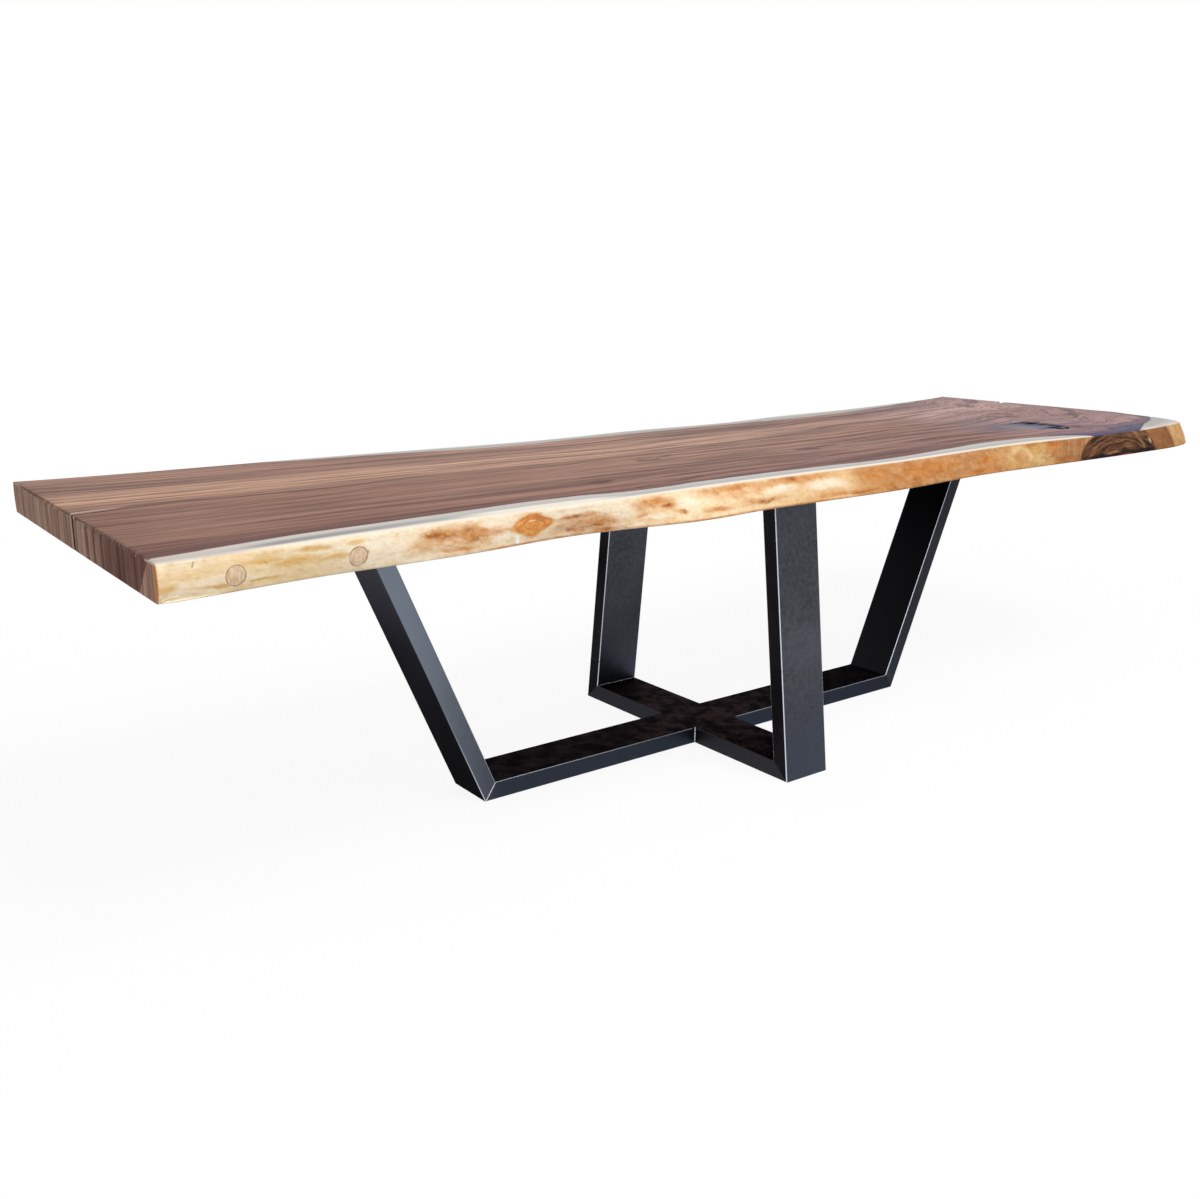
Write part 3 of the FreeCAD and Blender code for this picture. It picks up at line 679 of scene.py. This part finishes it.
def end_grain(y, z, inland, sapwood):
    """Sawn ends: darker, greyer end grain, with paler rays in the sapwood and a chipped upper arris."""
    rays = grain(1.0, y * 42.0, z * 2.5, 4.0, 0.7)
    pores = grain(1.0, y * 260.0, z * 90.0, 3.0, 0.6)
    brown = tones(rays, [
        (0.34, 102, 68, 56), (0.45, 156, 120, 103), (0.54, 192, 157, 139), (0.66, 212, 183, 167)])
    darker = mix(smooth(rays, 0.4, 0.6), paint(82, 51, 44), paint(120, 82, 72))
    brown = mix(smooth(y, -0.1, -0.36) * 0.85, brown, darker)
    brown = lay(brown, smooth(y, -0.06, 0.06) * 0.2, 166, 136, 116)
    brown = lay(brown, smooth(pores, 0.5, 0.7) * 0.35, 90, 64, 56)
    pale_rays = grain(3.0, y * 190.0, z * 5.0, 3.0, 0.6)
    pale = mix(smooth(pale_rays, 0.38, 0.62), paint(146, 106, 88), paint(204, 166, 146))
    pale = lay(pale, smooth(inland, 0.012, 0.004), 208, 146, 96)
    chips = grain(0.0, y * 95.0, z * 60.0, 3.0, 0.6)
    bare = smooth(z + (chips - 0.5) * 0.03, TOP - 0.0045, TOP - 0.001) * smooth(chips, 0.36, 0.5)
    return lay(mix(sapwood, brown, pale), bare * 0.7, 196, 182, 178)


def board_wood():
    """The whole board: heartwood and sapwood on its top, its live faces, its sawn ends and its check."""
    wood = Finish("board_wood")
    x, y, z = wood.x, wood.y, wood.z
    front = along(x, FRONT_EDGE)
    back = along(x, BACK_EDGE)
    lean = (TOP - z) * 0.9
    front_heart = along(x, FRONT_HEART) + lean
    back_heart = along(x, BACK_HEART) - lean
    across = (y - front) / (back - front)
    lane = heart_grain(x, y, z, across)
    heart, figure = heartwood(x, z, lane)
    heart = heart_marks(x, y, heart, figure)
    heart = lay(heart, smooth(y - front_heart, 0.055, 0.0) * 0.3, 102, 77, 75)
    off_border = y - front_heart + (figure - 0.5) * 0.06 + smooth(x, 1.38, 1.55) * 0.03
    violet = smooth(off_border, 0.115, 0.02) * smooth(x, 0.95, 1.12)
    heart = lay(heart, violet * (0.93 - smooth(x, 1.34, 1.5) * 0.3), 70, 70, 97)

    # Sapwood on the top, in front and behind.
    front_strip = smooth(y - front_heart + (figure - 0.5) * 0.01, 0.0015, -0.0015)
    back_strip = smooth(y - back_heart + (figure - 0.5) * 0.012, -0.002, 0.002)
    drift = grain(x * 2.0, y * 9.0, 0.0, 3.0) - 0.5
    front_depth = (front_heart - y) / (front_heart - front) + drift * 0.25
    back_depth = (y - back_heart) / (back - back_heart) + drift * 0.3
    top = mix(front_strip, heart, front_sapwood(x, front_depth))
    back_sap = tones(back_depth, [
        (0.0, 184, 180, 176), (0.3, 172, 169, 167), (0.62, 184, 182, 179), (0.9, 208, 202, 192)])
    top = mix(back_strip, top, back_sap)

    # Live faces, in front and behind.
    skin = smooth(z, TOP - 0.0006, TOP - 0.0045) * smooth(z, FOOT + 0.0004, FOOT + 0.0015)
    inland = y - front
    near_front = smooth(inland, 0.06, 0.05)
    near_back = smooth(back - y, 0.06, 0.05)
    face, mottle = live_face(x, z)
    face = burl_face(x, z, face)
    colour = mix(skin * near_front, top, face)
    colour = mix(skin * near_back, colour, back_face(x, z, mottle))

    # Sawn ends.
    left_end = smooth(x - y * LEFT_SLOPE, LEFT_SAW + 0.0022, LEFT_SAW + 0.0008)
    right_end = smooth(x - y * RIGHT_SLOPE, RIGHT_SAW - 0.0022, RIGHT_SAW - 0.0008)
    sawn = left_end.math("MAXIMUM", right_end)
    colour = mix(sawn, colour, end_grain(y, z, inland, front_strip.math("MAXIMUM", back_strip)))

    # Walls of the left drying check: painted shade, dark all the way in, and darker on the end beside its
    # mouth.
    off_check = abs(y - ((x - LEFT_SAW) * LEFT_CHECK_SLOPE + LEFT_CHECK_Y))
    past_wall = off_check - LEFT_CHECK_HALF * (1.0 - (x - LEFT_SAW) / LEFT_CHECK_LENGTH)
    check_wall_shade = smooth(past_wall, 0.0006, 0.0001) * smooth(x, -1.335, -1.35) * smooth(z, TOP + 0.0001, TOP - 0.0008)
    check_lip_shade = smooth(past_wall, 0.004, 0.001) * left_end
    colour = lay(colour, check_wall_shade.math("MAXIMUM", check_lip_shade * 0.8), 38, 26, 22)

    fibres = grain(x * 12.0, y * 420.0, z * 420.0)
    relief = fibres * 0.15 + figure * 0.3 + mottle * skin * 2.0
    bump = wood.node("Bump", {"Strength": 0.3, "Distance": 0.001, "Height": relief})
    return wood.dress(Base_Color=colour, Roughness=0.55 + 0.2 * sawn, Specular_IOR_Level=0.05, Normal=bump)


def plug_wood():
    """End-grain plugs over the tie rods, each in a dark glue line."""
    plug = Finish("plug_wood")
    low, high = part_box("edge_plugs_front")
    first = low[0] + PLUG_RADIUS
    second = high[0] - PLUG_RADIUS
    height = (low[2] + high[2]) / 2.0
    off = abs(plug.x - first).math("MINIMUM", abs(plug.x - second))
    far = (off * off + (plug.z - height) * (plug.z - height)) ** 0.5
    rays = grain(plug.x * 160.0, plug.y * 20.0, plug.z * 60.0, 3.0, 0.6)
    tone = mix(smooth(rays, 0.35, 0.65), paint(212, 177, 140), paint(236, 210, 180))
    pits = noise(plug.place, 420.0, 3.0, 0.6)
    tone = lay(tone, smooth(pits, 0.56, 0.68) * 0.5, 186, 146, 108)
    glue = smooth(far, PLUG_RADIUS - 0.002, PLUG_RADIUS - 0.001)
    broken = smooth(noise(plug.place, 75.0, 2.0), 0.36, 0.6)
    tone = lay(tone, glue * (0.4 + broken * 0.6), 134, 98, 64)
    return plug.dress(Base_Color=tone, Roughness=0.5, Specular_IOR_Level=0.2)


def knot_resin():
    """Dark cast resin, blue-grey in the middle: that blue-grey and the greyer left end are partly a painted
    reflection, and the black round its far rim and at its ends is painted shadow.
    """
    resin = Finish("knot_resin")
    x, y = resin.x, resin.y
    cloud = smooth(grain(x * 4.0, y * 46.0, resin.z * 9.0, 3.0), 0.38, 0.6)
    # Partly painted reflection: the blue-grey middle and the greyer left end stand for light mirrored in the
    # resin.
    tone = mix(cloud, paint(70, 76, 100), paint(112, 120, 144))
    haze = mix(cloud, paint(116, 112, 122), paint(146, 134, 136))
    tone = mix(smooth(x, 1.21, 1.13), tone, haze)
    # Painted shadow along the far rim and at the ends, in the resin's recess.
    black = any_of([stroke(x, y, mark, core) for *mark, core in RESIN_RIM_SHADOW])
    tone = lay(tone, black, 14, 13, 16)
    return resin.dress(Base_Color=tone, Roughness=0.3, Specular_IOR_Level=0.0)


# ---- pieces ----

def mode(name):
    """Go into edit mode, or back to object mode."""
    bpy.ops.object.mode_set(mode=name)


def only(piece):
    """Make one object the selected and active one."""
    bpy.ops.object.select_all(action="DESELECT")
    piece.select_set(True)
    bpy.context.view_layer.objects.active = piece


def settle(piece, name, finish, smooth_angle=35.0):
    """Put the place into the mesh, name the piece and give it its finish."""
    only(piece)
    bpy.ops.object.transform_apply(location=True, rotation=True, scale=True)
    bpy.ops.object.shade_smooth_by_angle(angle=math.radians(smooth_angle))
    piece.name = name
    piece.data.name = name
    piece.data.materials.clear()
    piece.data.materials.append(finish)
    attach(piece, "root")


def edge_at(edge, x):
    """How far across the board a live edge lies at a place along it."""
    for (x0, y0), (x1, y1) in zip(edge, edge[1:]):
        if x <= x1:
            return y0 + (y1 - y0) * (x - x0) / (x1 - x0)
    return edge[-1][1]


def copy_of_node(node, name):
    """Merged copy of a CAD node's mesh as a new object, open in edit mode with nothing selected."""
    copy = bpy.data.objects.new(name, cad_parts[node].data.copy())
    bpy.context.scene.collection.objects.link(copy)
    only(copy)
    bpy.ops.mesh.customdata_custom_splitnormals_clear()
    mode("EDIT")
    bpy.ops.mesh.select_mode(type="VERT")
    bpy.ops.mesh.select_all(action="SELECT")
    bpy.ops.mesh.remove_doubles(threshold=0.00001)
    bpy.ops.mesh.select_all(action="DESELECT")
    return copy


def ends_of(mesh, edge):
    """Places of an edge's two ends."""
    return [mesh.vertices[index].co for index in edge.vertices]


def pick(piece, kind, wanted):
    """Select the vertices, edges or faces that wanted() accepts, in edit mode; gives how many."""
    bpy.ops.mesh.select_mode(type=kind)
    bpy.ops.mesh.select_all(action="DESELECT")
    mode("OBJECT")
    mesh = piece.data
    parts = {"VERT": mesh.vertices, "EDGE": mesh.edges, "FACE": mesh.polygons}[kind]
    found = 0
    for part in parts:
        part.select = bool(wanted(mesh, part))
        found += part.select
    mode("EDIT")
    return found


def off_the_saw(place):
    """Distance from the nearer sawn end, inwards."""
    return min(place.x - place.y * LEFT_SLOPE - LEFT_SAW, RIGHT_SAW + place.y * RIGHT_SLOPE - place.x)


def plug_distance(place):
    """Distance from the middle of the nearer plug, along the live edge."""
    return min(math.hypot(place.x - x, place.z - PLUG_HEIGHT) for x in PLUG_PLACES)


def on_live_face(place, normal):
    """Whether a place is on the skin of a live edge, clear of the ends and the plugs."""
    if abs(normal.z) > 0.97 or off_the_saw(place) < 0.004:
        return False
    if plug_distance(place) < PLUG_RADIUS + 0.0005:
        return False
    ahead = place.y - edge_at(FRONT_EDGE, place.x) < 0.055 and normal.y < 0.4
    behind = edge_at(BACK_EDGE, place.x) - place.y < 0.055 and normal.y > 0.2
    return ahead or behind


def skin_depth(place):
    """How freely the skin may sink: none at the arrises, the saw cuts and the plugs."""
    clear = [(TOP - place.z) / 0.012, (place.z - FOOT) / 0.01, off_the_saw(place) / 0.02,
             (plug_distance(place) - PLUG_RADIUS - 0.003) / 0.025]
    return max(0.0, min(1.0, *clear))


def sink(piece, group, name, size, depth):
    """Press a clouded relief into the vertices of a group: only inwards."""
    relief = bpy.data.textures.new(name, "CLOUDS")
    relief.noise_scale = size
    relief.noise_depth = 3
    push = piece.modifiers.new(name, "DISPLACE")
    push.texture = relief
    push.texture_coords = "LOCAL"
    push.vertex_group = group
    push.mid_level = 1.0
    push.strength = depth
    only(piece)
    bpy.ops.object.modifier_apply(modifier=name)


# The board's wear.
MOUTH_REACH = 0.0085  # half of the right check's mouth, with some room
MOUTH_MIDDLE = RIGHT_CHECK_Y + 0.0025
MOUTH_TORN = 2.4  # how many times wider the mouth has torn
MOUTH_SHIFT = -0.006
RIGHT_PART = 1.7  # only the right end lies past this along X
STRIP_WIDTH = 0.006  # the strip beside each saw cut, and its height on the cut
STRIP_HEIGHT = 0.01
CHIP_LENGTH = 0.0075
CHIP_WIDTH = 0.0016
CHECK_CLEAR = 0.012  # no chips this near to a check
SKIN_EDGE = 0.01  # longest edge in the mesh of a live face
CORNER_WEAR = [(-1.0, (0.0, 0.001, 0.0002)), (1.0, (-0.003, 0.003, 0.0012))]  # end, and how far it is worn


def tear_mouth(board):
    """The mouth of the check in the right end has torn wider, and a little towards the front."""
    def check_mouth(mesh, point):
        in_mouth = abs(point.co.y - RIGHT_CHECK_Y) < MOUTH_REACH
        return point.co.x > RIGHT_PART and in_mouth and off_the_saw(point.co) < 0.0004

    pick(board, "VERT", check_mouth)
    bpy.ops.transform.resize(value=(1.0, MOUTH_TORN, 1.0), center_override=(RIGHT_SAW, MOUTH_MIDDLE, TOP))
    bpy.ops.transform.translate(value=(0.0, MOUTH_SHIFT, 0.0))


def cut_strips():
    """A narrow strip beside each saw cut, so that its chips stay beside the cut."""
    for slope, saw, side in ((LEFT_SLOPE, LEFT_SAW, 1.0), (RIGHT_SLOPE, RIGHT_SAW, -1.0)):
        bpy.ops.mesh.select_all(action="SELECT")
        bpy.ops.mesh.bisect(plane_co=(saw + side * STRIP_WIDTH, 0.0, TOP), plane_no=(1.0, -slope, 0.0))
    bpy.ops.mesh.select_all(action="SELECT")
    bpy.ops.mesh.bisect(plane_co=(0.0, 0.0, TOP - STRIP_HEIGHT), plane_no=(0.0, 0.0, 1.0))


def bevel_saw_cuts(board):
    """The upper arrises of the saw cuts in short pieces, bevelled, with a group to chip them by."""
    def saw_arris(mesh, edge):
        return all(co.z > TOP - 0.00005 and off_the_saw(co) < 0.0002 for co in ends_of(mesh, edge))

    def long_saw_arris(mesh, edge):
        one, other = ends_of(mesh, edge)
        return saw_arris(mesh, edge) and (one - other).length > CHIP_LENGTH

    for halving in range(8):
        if not pick(board, "EDGE", long_saw_arris):
            break
        bpy.ops.mesh.subdivide(number_cuts=1)
    pick(board, "EDGE", saw_arris)
    bpy.ops.mesh.bevel(offset=CHIP_WIDTH, segments=1, affect="EDGES")
    mode("OBJECT")
    corner = board.vertex_groups.new(name="saw_corner")
    for point in board.data.vertices:
        clear = min(abs(point.co.y - check_y) for check_y in (LEFT_CHECK_Y, RIGHT_CHECK_Y)) > CHECK_CLEAR
        if point.select and clear:
            corner.add([point.index], 1.0, "REPLACE")
    mode("EDIT")


def wear_corners(board):
    """The front corners of both ends are worn round at their feet, more so towards the very bottom."""
    for end, wear in CORNER_WEAR:
        for height in (0.012, 0.008, 0.004):
            def corner_foot(mesh, point):
                near = point.co.y - edge_at(FRONT_EDGE, point.co.x)
                at_end = off_the_saw(point.co) < 0.0095 and point.co.x * end > 1.4
                return at_end and near < 0.04 and point.co.z < FOOT + height

            pick(board, "VERT", corner_foot)
            bpy.ops.transform.translate(value=wear)


def refine_faces(board):
    """Finer, more even mesh on the live faces, with a group to sink them by."""
    def long_live_edge(mesh, edge):
        one, other = ends_of(mesh, edge)
        middle = (one + other) / 2.0
        outward = Vector((0.0, -1.0 if middle.y < 0.0 else 1.0, 0.0))
        long = (one - other).length > SKIN_EDGE
        return long and on_live_face(middle, outward) and FOOT < middle.z < TOP

    for halving in range(4):
        if pick(board, "EDGE", long_live_edge):
            bpy.ops.mesh.subdivide(number_cuts=1)
        pick(board, "FACE", lambda mesh, face: on_live_face(face.center, face.normal))
        bpy.ops.mesh.quads_convert_to_tris()
        bpy.ops.mesh.beautify_fill(angle_limit=math.radians(8.0))
    mode("OBJECT")
    skin = board.vertex_groups.new(name="live_skin")
    for point in board.data.vertices:
        if on_live_face(point.co, point.normal):
            skin.add([point.index], skin_depth(point.co), "REPLACE")


def model_board():
    """The board: worn, hand-planed live edges and chipped corners along both saw cuts."""
    board = copy_of_node("slab", "board")
    tear_mouth(board)
    cut_strips()
    bevel_saw_cuts(board)
    wear_corners(board)
    refine_faces(board)
    sink(board, "live_skin", "planed_hollows", 0.06, 0.0024)
    sink(board, "live_skin", "torn_grain", 0.014, 0.0007)
    sink(board, "saw_corner", "corner_chips", 0.009, 0.004)
    settle(board, "board", FINISHES["board_wood"])
    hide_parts("slab")


def model_resin():
    """Resin in the knot, drawn down a little from its rim as it cured."""
    resin = copy_of_node("knot_resin_fill", "resin")
    pick(resin, "FACE", lambda mesh, face: face.normal.z > 0.9 and face.center.z > TOP - 0.001)
    bpy.ops.mesh.dissolve_faces()
    for width, drop in ((0.0015, 0.0002), (0.004, 0.0006), (0.009, 0.0006)):
        bpy.ops.mesh.inset(thickness=width)
        bpy.ops.transform.translate(value=(0.0, 0.0, -drop))
    mode("OBJECT")
    settle(resin, "resin", FINISHES["knot_resin"])
    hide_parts("knot_resin_fill")


def model_weld(name, start, end, radius, brushed_and_highlit):
    """Rippled weld bead from one place to another: pale from wire brushing, with a painted highlight in that
    pale colour, or left black.
    """
    run = Vector(end) - Vector(start)
    half = run.length / 2.0
    bpy.ops.object.select_all(action="DESELECT")
    bpy.ops.mesh.primitive_cylinder_add(vertices=8, radius=radius, depth=run.length)
    bead = bpy.context.object
    mode("EDIT")

    def lengthwise(mesh, edge):
        one, other = ends_of(mesh, edge)
        return abs(one.z - other.z) > half

    rings = max(int(run.length / (radius * 1.3)), 4)
    pick(bead, "EDGE", lengthwise)
    bpy.ops.mesh.subdivide(number_cuts=rings - 1)
    pitch = run.length / rings
    pick(bead, "VERT", lambda mesh, point: round((point.co.z + half) / pitch) % 2)
    bpy.ops.transform.resize(value=(0.72, 0.72, 1.0), center_override=(0.0, 0.0, 0.0))
    pick(bead, "VERT", lambda mesh, point: abs(point.co.z) > half - pitch / 2.0)
    bpy.ops.transform.resize(value=(0.45, 0.45, 1.0), center_override=(0.0, 0.0, 0.0))
    mode("OBJECT")
    bead.rotation_euler = run.to_track_quat("Z", "Y").to_euler()
    bead.location = (Vector(start) + Vector(end)) / 2.0
    settle(bead, name, FINISHES["weld_steel" if brushed_and_highlit else "black_weld"], 60.0)


def model_welds():
    """Beads along the side legs' mitres, in the inner corners over them, and where the bars cross."""
    half = BAR_WIDTH / 2.0
    low = 0.002
    for side_name, side in (("left", -1.0), ("right", 1.0)):
        foot = (LONG_FOOT - low * LONG_MITRE) * side
        inner = (LONG_FOOT - BAR_DEPTH * LONG_MITRE) * side
        for face_name, face in (("front", -half), ("back", half)):
            # Bright beads: wire brushing with a painted highlight in their pale colour.
            brushed_and_highlit = side * face > 0.0
            model_weld(f"weld_{side_name}_mitre_{face_name}", (foot, face, low), (inner, face, BAR_DEPTH),
                       0.0018, brushed_and_highlit)
            model_weld(f"weld_cross_{side_name}_{face_name}", (half * side, face, low),
                       (half * side, face, BAR_DEPTH), 0.003 if brushed_and_highlit else 0.0022, brushed_and_highlit)
    for side_name, side in (("front", -1.0), ("back", 1.0)):
        inner = (CROSS_FOOT - BAR_DEPTH * CROSS_MITRE) * side
        model_weld(f"weld_{side_name}_inside", (-half + 0.004, inner, BAR_DEPTH),
                   (half - 0.004, inner, BAR_DEPTH), 0.0012, side > 0.0)


# The last three are weld pale from wire brushing and as a painted highlight, weld left as it cooled, and
# bright zinc plating.
FINISHES = {
    "board_wood": board_wood(), "plug_wood": plug_wood(), "knot_resin": knot_resin(),
    "blackened_steel": blackened_steel(),
    "weld_steel": clouded_metal("weld_steel", 240.0, (168, 171, 180), (230, 233, 240), 0.3, Metallic=0.7),
    "black_weld": clouded_metal("black_weld", 180.0, (40, 39, 44), (72, 68, 70), 0.4, Metallic=1.0,
                                Specular_Tint=BLACK_SHEEN),
    "zinc_steel": clouded_metal("zinc_steel", 160.0, (150, 154, 160), (196, 198, 200), 0.28, plain=True,
                                Metallic=1.0)}
NODE_FINISH = {"slab": "board_wood", "edge_plugs_front": "plug_wood", "edge_plugs_back": "plug_wood",
               "knot_resin_fill": "knot_resin"}
for name in ("tie_rods", "tie_rod_nuts", "tie_rod_washers", "top_bolts", "top_washers", "threaded_inserts"):
    NODE_FINISH[name] = "zinc_steel"
for name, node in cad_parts.items():
    kind = NODE_FINISH.get(name, "blackened_steel")
    node.data.materials.clear()
    node.data.materials.append(FINISHES[kind])

model_board()
model_resin()
model_welds()


# ---- floor, light and camera ----

WORLD_LEVEL = 0.45
FLOOR_SIZE = 60.0
SHADOW_DEPTH = 0.1  # how much of the table's shadow the white floor shows
SHADOW_REACH = (1.8, 4.0)  # it fades out between these distances from the middle
CAMERA_PLACE = (-2.1065, -2.343, 1.1657)
CAMERA_YAW = 37.098  # degrees, from +Y towards +X
CAMERA_PITCH = -14.294
CAMERA_ROLL = 0.268
CAMERA_LENS = 36.55  # millimetres, on a sensor 36 wide


def make_floor():
    """Pale floor that shows white, with the table's shadow."""
    bpy.ops.mesh.primitive_grid_add(x_subdivisions=4, y_subdivisions=4, size=FLOOR_SIZE)
    floor = bpy.context.object
    floor.name = "floor"
    pale = Finish("floor_white")
    shade = mix(pale.ray("Camera"), (0.5, 0.5, 0.5, 1.0), WHITE)
    lit = pale.node("BsdfDiffuse", {"Color": shade})
    glow = pale.node("Emission", {"Color": WHITE, "Strength": 1.0})
    distance = (pale.x * pale.x + pale.y * pale.y) ** 0.5
    plain = 1.0 - SHADOW_DEPTH + smooth(distance, *SHADOW_REACH) * SHADOW_DEPTH
    mixed = pale.node("MixShader", [pale.seen() * plain, lit, glow])
    pale.feed(pale.tree.nodes["Material Output"].inputs["Surface"], mixed)
    floor.data.materials.append(pale.material)


def make_world():
    """Even soft light, and white where it is seen or mirrored."""
    world = bpy.data.worlds.new("studio")
    bpy.context.scene.world = world
    world.use_nodes = True
    sky = Nodes(world.node_tree)
    sky.tree.nodes.remove(sky.tree.nodes["Background"])
    light = sky.node("Background", {"Color": WHITE, "Strength": WORLD_LEVEL})
    white = sky.node("Background", {"Color": WHITE, "Strength": 1.0})
    mixed = sky.node("MixShader", [sky.seen(), light, white])
    sky.feed(sky.tree.nodes["World Output"].inputs["Surface"], mixed)


def add_softbox(name, place, aim, size, power, mirrored=True):
    """Rectangular lamp of a size and a power in watts, aimed at a point."""
    lamp = bpy.data.lights.new(name, "AREA")
    lamp.shape = "RECTANGLE"
    lamp.size, lamp.size_y = size
    lamp.energy = power
    holder = bpy.data.objects.new(name, lamp)
    holder.location = place
    holder.visible_glossy = mirrored
    holder.rotation_euler = (Vector(aim) - Vector(place)).to_track_quat("-Z", "Y").to_euler()
    bpy.context.scene.collection.objects.link(holder)


def make_camera():
    """The main view."""
    eye = bpy.data.cameras.new("camera")
    eye.lens = CAMERA_LENS
    eye.sensor_width = 36.0
    eye.sensor_fit = "HORIZONTAL"
    eye.clip_end = 200.0
    holder = bpy.data.objects.new("camera", eye)
    turn = (Matrix.Rotation(math.radians(-CAMERA_YAW), 4, "Z")
            @ Matrix.Rotation(math.radians(90.0 + CAMERA_PITCH), 4, "X")
            @ Matrix.Rotation(math.radians(CAMERA_ROLL), 4, "Z"))
    holder.matrix_world = Matrix.Translation(CAMERA_PLACE) @ turn
    bpy.context.scene.collection.objects.link(holder)
    bpy.context.scene.camera = holder


make_floor()
make_world()
add_softbox("key_softbox", (0.6, -4.0, 6.0), (0.0, 0.0, 0.6), (4.0, 3.0), 322.0)
add_softbox("edge_softbox", (-2.6, -3.0, 2.2), (0.0, 0.0, 0.5), (0.8, 1.4), 16.0)
add_softbox("back_softbox", (0.4, 4.4, 1.5), (0.0, 0.0, 0.6), (4.0, 1.6), 60.0, mirrored=False)
make_camera()
bpy.context.scene.view_settings.view_transform = "Standard"
